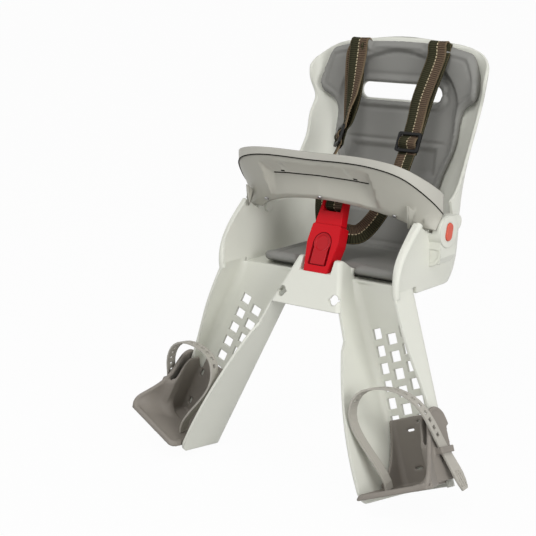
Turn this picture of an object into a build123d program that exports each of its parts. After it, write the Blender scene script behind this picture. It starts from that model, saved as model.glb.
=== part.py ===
"""Front-mounted child bike seat.

Millimetres, +Z up. The origin is midway between the two fork holes in the front panel, the seat
faces -Y, and the plane X = 0 is the plane of symmetry.
"""

import os
from math import cos, radians, sin, tan

from build123d import *

# Seat shell
wall = 4.0
pan_top = 20.0
pan_front = 43.0
pan_inner = 40.0
leg_joint_height = 24.0
top_height = 306.0
fork_spacing = 80.0
fork_hole_radius = 6.2
fork_hole_depth = 13.0

# Tub sections: height, half width, back, rear corner radius
tub_sections = [
    (16.0, 133.0, 152.0, 50.0),
    (36.0, 133.0, 172.0, 58.0),
    (75.0, 132.5, 184.0, 64.0),
    (120.0, 131.5, 191.5, 64.0),
    (165.0, 132.0, 200.0, 56.0),
    (208.0, 133.5, 207.5, 42.0),
    (252.0, 136.5, 212.0, 32.0),
    (314.0, 138.0, 214.0, 26.0),
]
tub_front = -70.0
wing_front = [(-4.5, leg_joint_height - 4), (0, 55), (24, 85), (42, 101)]
wing_lip = 4.5
lip_bite = 0.2

# Slots in the back
slot_height = 235.0
slot_length = 126.0
slot_width = 21.0
strap_x = 60.0
strap_slot_height = 288.0
strap_slot_width = 9.0
strap_slot_length = 34.0

# Leg channels
leg_origin = (106.3, 33.0, -43.0)
leg_splay = 21.7
leg_lean = 8.34
leg_top = -115.0
leg_bottom = 185.0
leg_inner_top = -40.0
leg_inner_bottom = -28.0
leg_wall = 3.6
leg_corner = 10.0
leg_lip = 3.0
leg_front = [(44, -45), (40, 15), (30, 58), (22, 98), (17, leg_bottom)]
hole_pitch = 21.6
hole_rows = 7
hole_length = 13.0
hole_columns = [(-19.7, -10.0, 12.0), (0.0, 0.0, 14.0), (20.3, -6.1, 13.0)]

# Front panel
panel_low = -13.0
panel_top = 43.0
panel_low_y = -4.5
panel_top_y = 27.0
panel_low_half = 53.5
panel_top_half = 33.0
panel_wall = 3.6
panel_corner = 7.0
panel_round = 4.0
deck_front = 33.0
deck_back = 32.0
pocket_half = 24.0
pocket_floor = 27.0
pocket_front = 10.0

# Red release buttons and the buckle's screw
button_length = 22.0
button_width = 13.0
button_pocket = 8.5
buckle_foot_y = 31.0
buckle_screw_radius = 2.5

# Pivot knuckles
pivot_y = 86.0
pivot_z = 86.0
pivot_radius = 4.0
knuckle_radius = 19.5
knuckle_wall = 3.6
knuckle_face = 150.0
tail_reach = 30.0
tail_rise = 7.0
tail_radius = 9.0
tail_face = 144.0
bracket_low = 42.0
bracket_front = 16.0
bracket_back = 18.0
tang_near = 133.2
tang_far = 138.6
running_clearance = 0.05
clearance = 0.3

# Pads
pad_thickness = 9.0
seat_pad_thickness = 13.0
pad_top = 296.0
seat_pad_half = 104.0

# Safety bar, in its own frame: across, forward of the pivot; one half of each outline
bar_tilt = 40.0
bar_parting = 12.0
bar_bottom = -11.0
bar_end = 20.3
cover_front = 8.0
cover_wedge = 7.8
bar_front = [(146, bar_end), (143.5, 45), (135.5, 72), (122, 96), (100, 109), (0, 115)]
bar_back = [(118, bar_end), (116, 40), (106, 54), (84, 60), (0, 62)]
bar_foot_front = [(146, bar_end), (121, 34), (90, 53), (56, 65), (0, 72)]
bar_foot_back = [(118, bar_end), (108, 29), (88, 41), (56, 53), (0, 60)]
bar_screw_places = [(-98, 43), (0, 66), (98, 43)]
bar_screw_radius = 1.6
bar_screw_grip = 6.0
grip_top = 5.0
grip_depth = 91.0
grip_foot = 70.0
grip_half = 64.0
grip_half_low = 84.0
grip_slit = 1.2
grip_slit_depth = 87.0
clip_x = 50.0
clip_length = 6.0
clip_height = 1.6
clip_depth = 102.5
finger_x = 121.0
pin_head = 3.0
button_depth = 5.0
button_proud = 2.0
spring_radius = 3.5
spring_wire = 0.9
spring_turns = 3

# Buckle, in its own leaning frame: up the buckle and out of its face
buckle_y = 29.1
buckle_z = 24.3
buckle_lean = 24.6
buckle_length = 60.0
buckle_half = 23.5
buckle_low_half = 17.0
buckle_back = 7.0
buckle_front = 11.0
buckle_screw_grip = 5.0
press_place = 36.0
press_radius = 12.5
press_dish = 1.2
press_tab_half = 10.5
press_slot = 2.4
press_tab_low = 8.0
press_depth = 4.6
press_proud = 0.4
press_floor = 3.6
blade_half = 14.0
blade_length = 22.0
blade_thickness = 3.0
tongue_half = 20.0
tongue_top = 95.0
tongue_back = 3.0
tongue_front = 9.5
tongue_window = 77.5
tongue_bar_low = 87.0
tongue_bar_high = 92.0
tongue_bar_back = 1.0
tongue_bar_front = 5.5

# Harness
strap_width = 25.0
strap_thickness = 1.8
strap_bend_y = 190.5
strap_bend_z = 280.0
strap_end_y = 219.0
adjuster_x = 53.5
adjuster_y = 142.0
adjuster_z = 180.0
adjuster_width = 34.0
adjuster_height = 26.0
adjuster_thickness = 3.4
adjuster_bar = 3.6

# Footrests, in the leg's frame: outward, forward, down the leg
sole_place = 176.0
rest_wall = 3.2
rest_top = 96.0
rest_inner = -26.5
rest_front = 102.0
rest_bridge = 46.0
rest_catch = 20.0
rest_slots = [(2, 112, 11, 2.5), (2, 158, 11, 2.5), (36, 117, 3, 9), (36, 161, 3, 9)]
rest_lip = 3.4
rest_round = 6.0
foot_strap_width = 14.0
foot_strap_thickness = 2.5
foot_strap_peg_u = 61.5
strap_peg_v = 28.0
strap_peg_s = 141.0
foot_strap_route = [
    (-6, 58, 174.2),
    (-24, 70, 106),
    (-26, 72, 80),
    (-12, 71, 60),
    (14, 68, 56.5),
    (42, 63, 66),
    (57, 56, 82),
    (63, 45, 108),
    (foot_strap_peg_u, strap_peg_v, strap_peg_s),
    (65, 21, 163),
    (69, 15, 190),
]
foot_strap_steps = 36
finger_tab_start = 0.8
finger_tab_width = 19.0
foot_strap_hole = 5.0
foot_strap_holes = [0.36 + 0.032 * step for step in range(14)]
strap_peg_radius = 1.8
strap_loop_length = 8.0
strap_loop_wall = 2.4

splay = radians(leg_splay)
lean = radians(leg_lean)
leg_out = (cos(splay), 0, sin(splay))
leg_down = (sin(splay) * cos(lean), -sin(lean), -cos(splay) * cos(lean))
leg_plane = Plane(origin=leg_origin, x_dir=leg_out, z_dir=leg_down)
# Inner face of the outer leg wall, set so that the leg meets the tub's side at the joint height
leg_reach = tub_sections[0][1] - leg_origin[0] - tan(splay) * (leg_origin[2] - leg_joint_height)
leg_outer = leg_reach * cos(splay) - leg_wall
rest_outer = leg_outer - 0.7
ear_near = leg_outer + 2 * leg_lip + lip_bite + 0.8
ear_far = ear_near + rest_wall


# Corners of the front panel in the leg's frame
panel_low_corner = leg_plane.to_local_coords(Vector(panel_low_half, panel_low_y, panel_low))
panel_top_corner = leg_plane.to_local_coords(Vector(panel_top_half, panel_top_y, panel_top))


def leg_side_plane(outward):
    """Plane across a leg channel: local x runs forward, local y runs down the leg."""
    base = leg_plane.offset(0)
    start = base.from_local_coords(Vector(outward, 0, 0))
    return Plane(origin=start, x_dir=base.y_dir, z_dir=base.x_dir)


def tub(inset):
    """Solid filling the seat tub, its sides and back moved in by inset."""
    with BuildPart() as filled:
        for height, half_width, back, corner in tub_sections:
            with BuildSketch(Plane.XY.offset(height)) as section:
                with Locations((0, back - inset)):
                    Rectangle(2 * (half_width - inset), back - tub_front, align=(Align.CENTER, Align.MAX))
                fillet(section.vertices().group_by(Axis.Y)[-1], corner - inset)
        loft()
    return filled.part


# Shell: one moulding
with BuildPart() as tub_hollow:
    add(tub(wall))
    split(bisect_by=Plane.XY.offset(pan_top), keep=Keep.TOP)

with BuildPart() as tub_wall:
    add(tub(0))
    add(tub_hollow.part, mode=Mode.SUBTRACT)
    # The pan stops at the top of the leg channels
    with BuildSketch(Plane.XY):
        with Locations((0, pan_front)):
            Rectangle(400, 200, align=(Align.CENTER, Align.MAX))
    extrude(amount=leg_joint_height, mode=Mode.SUBTRACT)
    # Front edge of the wings, seen from the side
    with BuildSketch(Plane.YZ):
        with BuildLine():
            low = Line((-6, 0), wing_front[0])
            front = Spline(*wing_front, tangents=[(0.1, 1), (0.8, 0.6)])
            saddle = Line(front @ 1, (pivot_y - knuckle_radius, pivot_z))
            hub = ThreePointArc(
                saddle @ 1,
                (pivot_y, pivot_z + knuckle_radius),
                (pivot_y + knuckle_radius, pivot_z + 4),
            )
            shelf = Line(hub @ 1, (pivot_y + 40, pivot_z + 5))
            scoop = Line(shelf @ 1, (pivot_y + 34, pivot_z + 30))
            wing = Spline(
                scoop @ 1,
                (142, 133),
                (156, 152),
                (171, 178),
                (180, 203),
                (191, 225),
                (187, 246),
                (188, 262),
                (198, 279),
                (214, top_height + 10),
            )
            Polyline(wing @ 1, (260, top_height + 10), (260, 0), low @ 0)
        make_face()
    extrude(amount=300, both=True, mode=Mode.INTERSECT)
    # Arched top edge and rounded ears, seen from the front
    with BuildSketch(Plane.XZ):
        with BuildLine():
            arch = Spline(
                (-139, 248),
                (-133, 272),
                (-116, 288),
                (-60, 301.5),
                (0, top_height),
                (60, 301.5),
                (116, 288),
                (133, 272),
                (139, 248),
            )
            Polyline(arch @ 1, (180, 240), (180, 0), (-180, 0), (-180, 240), arch @ 0)
        make_face()
    extrude(amount=300, both=True, mode=Mode.INTERSECT)
    # Back slot and the two strap slots
    with BuildSketch(Plane.XZ) as back_slots:
        with Locations((0, slot_height)):
            SlotOverall(slot_length, slot_width)
        with Locations((-strap_x, strap_slot_height), (strap_x, strap_slot_height)):
            SlotOverall(strap_slot_length, strap_slot_width)
    extrude(amount=-300, mode=Mode.SUBTRACT)

with BuildPart() as wing_lip_right:
    # Rolled lip along the lower front edge of a wing
    with BuildLine(Plane.YZ.offset(tub_sections[2][1] - wall + wing_lip + lip_bite)):
        lip_line = Spline(*[(y + 0.9 * wing_lip, z - 0.55 * wing_lip) for y, z in wing_front])
    with BuildSketch(Plane(origin=lip_line @ 0, z_dir=lip_line % 0)):
        Circle(wing_lip)
    sweep()

with BuildPart() as leg_wall_right:
    for along, inner in ((leg_top, leg_inner_top), (leg_bottom, leg_inner_bottom)):
        with BuildSketch(leg_plane.offset(along)) as section:
            with Locations((inner - leg_wall, -leg_wall)):
                Rectangle(leg_outer - inner + 2 * leg_wall, 130, align=(Align.MIN, Align.MIN))
            fillet(section.vertices().group_by(Axis.Y)[0], leg_corner + leg_wall)
    loft(ruled=True)
    for along, inner in ((leg_top, leg_inner_top), (leg_bottom, leg_inner_bottom)):
        with BuildSketch(leg_plane.offset(along)) as section:
            with Locations((inner, 0)):
                Rectangle(leg_outer - inner, 140, align=(Align.MIN, Align.MIN))
            fillet(section.vertices().group_by(Axis.Y)[0], leg_corner)
    loft(ruled=True, mode=Mode.SUBTRACT)
    # Front edge of the outer wall
    with BuildSketch(leg_side_plane(8)):
        with BuildLine():
            edge = Spline((leg_front[0][0] + 1, leg_top), *leg_front)
            Polyline(edge @ 1, (160, leg_bottom), (160, leg_top), edge @ 0)
        make_face()
    extrude(amount=80, mode=Mode.SUBTRACT)
    # Rolled lip along that edge
    with BuildLine(leg_side_plane(leg_outer + leg_lip + lip_bite)):
        leg_rim = Spline(*[(reach - leg_lip, along) for reach, along in leg_front])
    with BuildSketch(Plane(origin=leg_rim @ 0, z_dir=leg_rim % 0)):
        Circle(leg_lip)
    sweep()
    # Front edge of the inner wall, with its step and rounded foot
    with BuildSketch(leg_side_plane(8)) as inner_edge:
        with BuildLine():
            upper = Polyline(
                (panel_top_corner.Y - panel_corner, leg_top),
                (panel_top_corner.Y - panel_corner, panel_top_corner.Z),
                (panel_low_corner.Y - panel_corner / 2, panel_low_corner.Z),
                (44, -8),
            )
            step = Line(upper @ 1, (53, 4))
            lower = Spline(step @ 1, (75, 67), (86, 135), (86, 168))
            foot = ThreePointArc(lower @ 1, (82, 180), (70, leg_bottom + 1))
            Polyline(foot @ 1, (160, leg_bottom + 1), (160, leg_top), upper @ 0)
        make_face()
    extrude(amount=-90, mode=Mode.SUBTRACT)
    # Square holes that the footrest hooks into
    for outward, shift, width in hole_columns:
        for row in range(hole_rows):
            with BuildSketch(Plane(leg_side_plane(outward).from_local_coords(Vector(0, 0, 0)),
                                   x_dir=leg_plane.x_dir, z_dir=leg_plane.y_dir)):
                with Locations((0, -(shift + row * hole_pitch))):
                    Rectangle(width, hole_length)
            extrude(amount=20, both=True, mode=Mode.SUBTRACT)
    # The outer wall stops at the tub's side, the back at the pan, the inner wall at the panel's top
    with BuildSketch(Plane.YZ):
        Polygon(
            (-100, panel_top),
            (deck_front, panel_top),
            (pan_front + panel_wall, deck_back),
            (300, deck_back),
            (300, 300),
            (-100, 300),
            align=None,
        )
    extrude(amount=200, both=True, mode=Mode.SUBTRACT)
    with BuildSketch(Plane.XY.offset(leg_joint_height)):
        with Locations((tub_sections[0][1] - wall, 0)):
            Rectangle(200, 400, align=(Align.MIN, Align.CENTER))
    extrude(amount=60, mode=Mode.SUBTRACT)
    with BuildSketch(Plane.XY.offset(pan_top)):
        with Locations((pan_inner, 0)):
            Rectangle(tub_sections[0][1] - wall - pan_inner, 400, align=(Align.MIN, Align.CENTER))
    extrude(amount=60, mode=Mode.SUBTRACT)

with BuildPart() as pommel_cavity:
    with BuildSketch(Plane.XZ):
        Polygon(
            (-panel_low_half + panel_wall, panel_low),
            (panel_low_half - panel_wall, panel_low),
            (panel_top_half - panel_wall, panel_top),
            (-panel_top_half + panel_wall, panel_top),
            align=None,
        )
    extrude(amount=120, both=True)
    with BuildSketch(Plane.YZ):
        Polygon(
            (panel_low_y + 1.15 * panel_wall, panel_low),
            (panel_top_y + 0.6 * panel_wall, panel_top - panel_wall),
            (deck_front, panel_top - panel_wall),
            (pan_front, deck_back - panel_wall),
            (pan_front, pan_top - wall),
            (pan_front + 2 * wall, pan_top - wall),
            (pan_front + 2 * wall, panel_low),
            align=None,
        )
    extrude(amount=100, both=True, mode=Mode.INTERSECT)
    # Tray under the buckle pocket stays solid
    with Locations((0, pan_front, pocket_floor - panel_wall)):
        Box(
            2 * (pocket_half + panel_wall),
            80,
            60,
            align=(Align.CENTER, Align.CENTER, Align.MIN),
            mode=Mode.SUBTRACT,
        )

with BuildPart() as pommel:
    # Tapered front panel with a deck on top, hollow from below and behind
    with BuildSketch(Plane.XZ):
        Polygon(
            (-panel_low_half, panel_low),
            (panel_low_half, panel_low),
            (panel_top_half, panel_top),
            (-panel_top_half, panel_top),
            align=None,
        )
    extrude(amount=120, both=True)
    with BuildSketch(Plane.YZ):
        Polygon(
            (panel_low_y, panel_low),
            (panel_top_y, panel_top),
            (deck_front, panel_top),
            (pan_front + panel_wall, deck_back),
            (pan_front + panel_wall, panel_low),
            align=None,
        )
    extrude(amount=100, both=True, mode=Mode.INTERSECT)
    face_edges = pommel.faces().sort_by(Axis.Y)[0].edges().sort_by(Axis.X)
    fillet([face_edges[0], face_edges[-1]], panel_corner)
    fillet(pommel.faces().sort_by(Axis.Z)[-1].edges().sort_by(Axis.Y)[:-1], panel_round)
    add(pommel_cavity.part, mode=Mode.SUBTRACT)
    with Locations((0, pocket_front, pocket_floor)):
        Box(
            2 * pocket_half,
            2 * pan_front,
            60,
            align=(Align.CENTER, Align.MIN, Align.MIN),
            mode=Mode.SUBTRACT,
        )

with BuildPart() as knuckle_right:
    # Round boss outside the wing with a tail behind it, on a hollow bracket
    root = tub_sections[3][1] - wall / 2
    with BuildSketch(Plane.YZ.offset(root)):
        with Locations((pivot_y, pivot_z)):
            Circle(knuckle_radius)
    extrude(amount=knuckle_face - root)
    with BuildSketch(Plane.YZ.offset(root)):
        with Locations((pivot_y, pivot_z)):
            Circle(knuckle_radius - knuckle_wall)
        with Locations((pivot_y + tail_reach, pivot_z + tail_rise)):
            Circle(tail_radius)
        make_hull()
    extrude(amount=tail_face - root)
    bracket_face = Plane.XZ.offset(bracket_front - pivot_y)
    with BuildSketch(bracket_face):
        Polygon(
            (root, pivot_z),
            (knuckle_face - 1, pivot_z - 2),
            (knuckle_face - 1, bracket_low + 14),
            (knuckle_face - 7, bracket_low + 5),
            (root, bracket_low),
            align=None,
        )
    extrude(amount=-bracket_front - bracket_back)
    with BuildSketch(bracket_face) as pocket:
        Polygon(
            (root + wall, pivot_z - knuckle_radius - 1.5),
            (knuckle_face - 1 - knuckle_wall, pivot_z - knuckle_radius - 1.5),
            (knuckle_face - 1 - knuckle_wall, bracket_low + 15),
            (knuckle_face - 10, bracket_low + 9),
            (root + wall, bracket_low + 6),
            align=None,
        )
        fillet(pocket.vertices(), 1.5)
    extrude(amount=knuckle_wall - bracket_front - bracket_back, mode=Mode.SUBTRACT)
    # Opened above for the bar's tang
    with BuildSketch(Plane.YZ.offset(tang_near - clearance)):
        with Locations((pivot_y, pivot_z)):
            Circle(knuckle_radius - knuckle_wall)
            Rectangle(
                3 * knuckle_radius,
                3 * knuckle_radius,
                align=(Align.MAX, Align.MIN),
            )
            Rectangle(
                knuckle_radius - knuckle_wall,
                3 * knuckle_radius,
                align=(Align.MIN, Align.MIN),
            )
    extrude(amount=tang_far - tang_near + 2 * clearance, mode=Mode.SUBTRACT)

with BuildPart() as shell:
    add(tub_wall.part)
    add(leg_wall_right.part)
    mirror(leg_wall_right.part, about=Plane.YZ)
    add(pommel.part)
    add(knuckle_right.part)
    mirror(knuckle_right.part, about=Plane.YZ)
    add(wing_lip_right.part)
    mirror(wing_lip_right.part, about=Plane.YZ)
    # Pivot holes and button pockets
    with BuildSketch(Plane.YZ):
        with Locations((pivot_y, pivot_z)):
            Circle(pivot_radius + running_clearance)
    extrude(amount=knuckle_face - button_pocket, both=True, mode=Mode.SUBTRACT)
    for side in (1, -1):
        with BuildSketch(Plane.YZ.offset(side * (knuckle_face - button_pocket))):
            with Locations((pivot_y, pivot_z)):
                SlotOverall(button_length + 2 * clearance, button_width + 2 * clearance, rotation=75)
        extrude(amount=side * 2 * button_pocket, mode=Mode.SUBTRACT)
    # Fork holes, each with two small notches
    with BuildSketch(Plane.XZ.offset(-fork_hole_depth)):
        with GridLocations(fork_spacing, 1, 2, 1):
            Circle(fork_hole_radius)
            with Locations((fork_hole_radius, 0), (-fork_hole_radius, 0)):
                Rectangle(3, 2.4)
    extrude(amount=60, mode=Mode.SUBTRACT)
    # Hole for the screw under the buckle
    with BuildSketch(Plane.XY.offset(pocket_floor)):
        with Locations((0, buckle_foot_y)):
            Circle(buckle_screw_radius + running_clearance)
    extrude(amount=-2 * panel_wall, mode=Mode.SUBTRACT)
shell.part.label = "shell"


# Pads: soft mouldings that lie in the tub
seat_pad_top = pan_top + clearance + seat_pad_thickness
pad_bottom = seat_pad_top + 2 * clearance

with BuildPart() as back_pad:
    add(tub(wall + clearance))
    add(tub(wall + clearance + pad_thickness), mode=Mode.SUBTRACT)
    with BuildSketch(Plane.XZ):
        with BuildLine():
            half = Spline(
                (0, pad_top),
                (70, pad_top - 6),
                (112, pad_top - 22),
                (120, 250),
                (116, 231),
                (101, 220),
                (94, 180),
                (76, 120),
                (68, pad_bottom + 12),
                (54, pad_bottom),
            )
            Polyline(half @ 1, (0, pad_bottom), (0, pad_top))
        make_face()
        mirror(about=Plane.YZ)
    extrude(amount=300, both=True, mode=Mode.INTERSECT)
    with BuildSketch(Plane.XZ):
        with Locations((0, slot_height)):
            SlotOverall(slot_length + 5, slot_width + 3)
        with Locations((strap_x, strap_slot_height - 6), (-strap_x, strap_slot_height - 6)):
            Rectangle(36, 40, align=(Align.CENTER, Align.MIN))
    extrude(amount=-300, mode=Mode.SUBTRACT)
back_pad.part.label = "back_pad"

with BuildPart() as seat_pad:
    add(tub(wall + 2))
    split(bisect_by=Plane.XY.offset(pan_top + clearance), keep=Keep.TOP)
    split(bisect_by=Plane.XY.offset(seat_pad_top), keep=Keep.BOTTOM)
    with BuildSketch(Plane.XY) as pad_outline:
        with Locations((0, pan_front - 4)):
            Rectangle(2 * seat_pad_half, 130, align=(Align.CENTER, Align.MIN))
        fillet(pad_outline.vertices(), 18)
    extrude(amount=60, mode=Mode.INTERSECT)
    with Locations((0, pan_front + panel_wall + 3, 0)):
        Box(
            2 * (panel_top_half + 12),
            40,
            120,
            align=(Align.CENTER, Align.MAX, Align.CENTER),
            mode=Mode.SUBTRACT,
        )
seat_pad.part.label = "seat_pad"

# Safety bar: a tray below and a wedge-shaped cover above, parted along one plane
bar_slope = radians(bar_tilt)
bar_up = (0, sin(bar_slope), cos(bar_slope))
bar_plane = Plane(origin=(0, pivot_y, pivot_z), x_dir=(-1, 0, 0), z_dir=bar_up)


def bar_outline(height, front, back):
    """Closed U outline across the bar at a height above its pivot; front and back hold one half."""
    with BuildSketch(bar_plane.offset(height)) as outline:
        with BuildLine():
            outer = Spline(*front, *[(-x, y) for x, y in reversed(front[:-1])])
            inner = Spline(*back, *[(-x, y) for x, y in reversed(back[:-1])])
            Line(outer @ 0, inner @ 0)
            Line(outer @ 1, inner @ 1)
        make_face()
    return outline.sketch


bar_section = Plane(
    origin=(0, pivot_y, pivot_z),
    x_dir=bar_plane.y_dir,
    z_dir=bar_plane.y_dir.cross(bar_plane.z_dir),
)
bar_reach = bar_front[-1][1] + 20

with BuildPart() as grip_recess:
    # Scoop for the fingers in the front of the bar, deepest under its top edge
    with BuildSketch(bar_section):
        Polygon(
            (grip_depth, grip_top),
            (bar_reach, grip_top),
            (bar_reach, bar_bottom - 5),
            (grip_foot, bar_bottom - 5),
            (grip_foot, bar_bottom),
            align=None,
        )
    extrude(amount=grip_half_low, both=True)
    with BuildSketch(Plane(bar_section.origin, x_dir=(1, 0, 0), z_dir=bar_plane.y_dir)):
        Polygon(
            (-grip_half, -grip_top),
            (grip_half, -grip_top),
            (grip_half_low, 5 - bar_bottom),
            (-grip_half_low, 5 - bar_bottom),
            align=None,
        )
    extrude(amount=bar_reach, mode=Mode.INTERSECT)
    # Slit along its top edge and the marks of two clips above it
    with BuildSketch(bar_section):
        with Locations((grip_slit_depth, grip_top)):
            Rectangle(bar_reach - grip_slit_depth, grip_slit, align=(Align.MIN, Align.CENTER))
    extrude(amount=grip_half, both=True)
    for side in (1, -1):
        with BuildSketch(bar_section.offset(side * clip_x)):
            with Locations((clip_depth, grip_top + clip_height)):
                Rectangle(bar_reach - clip_depth, clip_height, align=(Align.MIN, Align.MIN))
        extrude(amount=clip_length / 2, both=True)

with BuildPart() as bar_lower:
    add(bar_outline(bar_parting, bar_front, bar_back))
    add(bar_outline(bar_bottom, bar_foot_front, bar_foot_back))
    loft(ruled=True)
    for side in (1, -1):
        # Tang that turns in the knuckle
        with BuildSketch(Plane.YZ.offset(side * tang_near)) as tang:
            with Locations((pivot_y, pivot_z)):
                Circle(knuckle_radius - knuckle_wall - 1)
                with Locations(Rotation(0, 0, 180 - bar_tilt)):
                    Rectangle(
                        bar_end + 14,
                        bar_parting - bar_bottom - 4,
                        align=(Align.MIN, Align.CENTER),
                    )
        extrude(amount=side * (tang_far - tang_near))
        # Finger that reaches down inside the wing
        with BuildSketch(Plane.YZ.offset(side * finger_x)):
            with BuildLine():
                Polyline(
                    (pivot_y - 36, pivot_z + 26),
                    (pivot_y - 50, pivot_z + 36),
                    (pivot_y - 47, pivot_z + 8),
                    close=True,
                )
            make_face()
        extrude(amount=side * 3)
    with BuildSketch(Plane.YZ):
        with Locations((pivot_y, pivot_z)):
            Circle(pivot_radius + running_clearance)
    extrude(amount=200, both=True, mode=Mode.SUBTRACT)
    with BuildSketch(bar_plane.offset(bar_bottom)):
        with Locations(*bar_screw_places):
            Circle(bar_screw_radius)
    extrude(amount=bar_parting - bar_bottom, mode=Mode.SUBTRACT)
    add(grip_recess.part, mode=Mode.SUBTRACT)
bar_lower.part.label = "bar_lower"

with BuildPart() as bar_cover:
    add(bar_outline(bar_parting, bar_front, bar_back))
    extrude(amount=60)
    with BuildSketch(Plane.YZ):
        with BuildLine():
            cover_rise = tan(radians(cover_wedge))
            points = []
            for reach in (-80, 200):
                height = bar_parting + cover_front + (bar_front[-1][1] - reach) * cover_rise
                points.append(bar_plane.from_local_coords(Vector(0, reach, height)))
            Polyline(
                (points[0].Y, points[0].Z),
                (points[1].Y, points[1].Z),
                (points[1].Y + 200, points[1].Z + 200),
                (points[0].Y + 200, points[0].Z + 200),
                close=True,
            )
        make_face()
    extrude(amount=300, both=True, mode=Mode.SUBTRACT)
    with BuildSketch(bar_plane.offset(bar_parting)):
        with Locations(*bar_screw_places):
            Circle(bar_screw_radius)
    extrude(amount=bar_screw_grip, mode=Mode.SUBTRACT)
bar_cover.part.label = "bar_cover"

with BuildPart() as bar_screws:
    with BuildSketch(bar_plane.offset(bar_bottom)):
        with Locations(*bar_screw_places):
            Circle(bar_screw_radius)
    extrude(amount=bar_parting - bar_bottom + bar_screw_grip)
    with BuildSketch(bar_plane.offset(bar_bottom)):
        with Locations(*bar_screw_places):
            Circle(1.9 * bar_screw_radius)
    extrude(amount=-1.6)
bar_screws.part.label = "bar_screws"

# Pivot pins, release buttons and their springs, right-hand side
with BuildPart() as pivot_pin:
    with BuildSketch(Plane.YZ.offset(tub_sections[3][1] - wall - pin_head)):
        with Locations((pivot_y, pivot_z)):
            Circle(pivot_radius)
    extrude(amount=knuckle_face - button_pocket - tub_sections[3][1] + wall + pin_head)
    with BuildSketch(Plane.YZ.offset(tub_sections[3][1] - wall - pin_head)):
        with Locations((pivot_y, pivot_z)):
            Circle(1.8 * pivot_radius)
    extrude(amount=pin_head)

with BuildPart() as release_button:
    with BuildSketch(Plane.YZ.offset(knuckle_face - button_depth + button_proud)):
        with Locations((pivot_y, pivot_z)):
            SlotOverall(button_length, button_width, rotation=75)
    extrude(amount=button_depth)
    fillet(release_button.faces().sort_by(Axis.X)[-1].edges(), 1.2)
    with BuildSketch(Plane.YZ.offset(knuckle_face - button_depth + button_proud)):
        with Locations((pivot_y, pivot_z)):
            Circle(spring_radius + 0.6)
    extrude(amount=button_depth - button_proud, mode=Mode.SUBTRACT)

with BuildPart() as release_spring:
    with BuildLine():
        coil = Helix(
            pitch=(button_pocket - spring_wire) / spring_turns,
            height=button_pocket - spring_wire,
            radius=spring_radius - spring_wire / 2,
            center=(knuckle_face - button_pocket + spring_wire / 2, pivot_y, pivot_z),
            direction=(1, 0, 0),
        )
    with BuildSketch(Plane(origin=coil @ 0, z_dir=coil % 0)):
        Rectangle(spring_wire, spring_wire)
    sweep(is_frenet=True)

# Footrest, left-hand side, in the leg's own frame
rest_face = Plane(
    leg_plane.from_local_coords(Vector(0, 0, 0)),
    x_dir=leg_plane.x_dir,
    z_dir=leg_plane.y_dir,
)
rest_middle = (rest_inner + rest_outer) / 2
loop_tilt = 2.8
loop_slack = 3.4
loop_far = (
    foot_strap_peg_u + foot_strap_thickness / 2 + loop_tilt / 2 + clearance + strap_loop_wall
)

with BuildPart() as rest_channel:
    # Back and both cheeks, rounded to follow the leg channel
    with BuildSketch(leg_plane.offset(rest_top)) as section:
        with Locations((rest_middle, clearance)):
            Rectangle(rest_outer - rest_inner, rest_bridge, align=(Align.CENTER, Align.MIN))
        fillet(section.vertices().group_by(Axis.Y)[0], leg_corner)
    extrude(amount=sole_place - rest_top)
    with BuildSketch(leg_plane.offset(rest_top)) as section:
        with Locations((rest_middle, clearance + rest_wall)):
            Rectangle(
                rest_outer - rest_inner - 2 * rest_wall,
                2 * rest_bridge,
                align=(Align.CENTER, Align.MIN),
            )
        fillet(section.vertices().group_by(Axis.Y)[0], leg_corner - rest_wall)
    extrude(amount=sole_place - rest_top, mode=Mode.SUBTRACT)
    # Cheeks fall away to the front, low on the inner side
    with BuildSketch(leg_side_plane(rest_inner - 1)):
        with BuildLine():
            sweep_edge = Spline(
                (clearance + rest_wall + 3, rest_top - 1),
                (14, rest_top + 34),
                (26, rest_top + 56),
                (rest_bridge + 6, sole_place - 6),
            )
            Polyline(sweep_edge @ 1, (2 * rest_bridge, rest_top - 1), sweep_edge @ 0)
        make_face()
    extrude(amount=rest_middle - rest_inner, mode=Mode.SUBTRACT)
    # Slit round the sprung catch
    with BuildSketch(rest_face):
        with Locations((rest_catch, -rest_top - 19)):
            Rectangle(16, 26)
        with Locations((rest_catch, -rest_top - 20.5)):
            Rectangle(13.4, 24.5, mode=Mode.SUBTRACT)
        for outward, down, width, height in rest_slots:
            with Locations((outward, -down)):
                Rectangle(width, height)
    extrude(amount=2 * rest_wall, mode=Mode.SUBTRACT)

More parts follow.
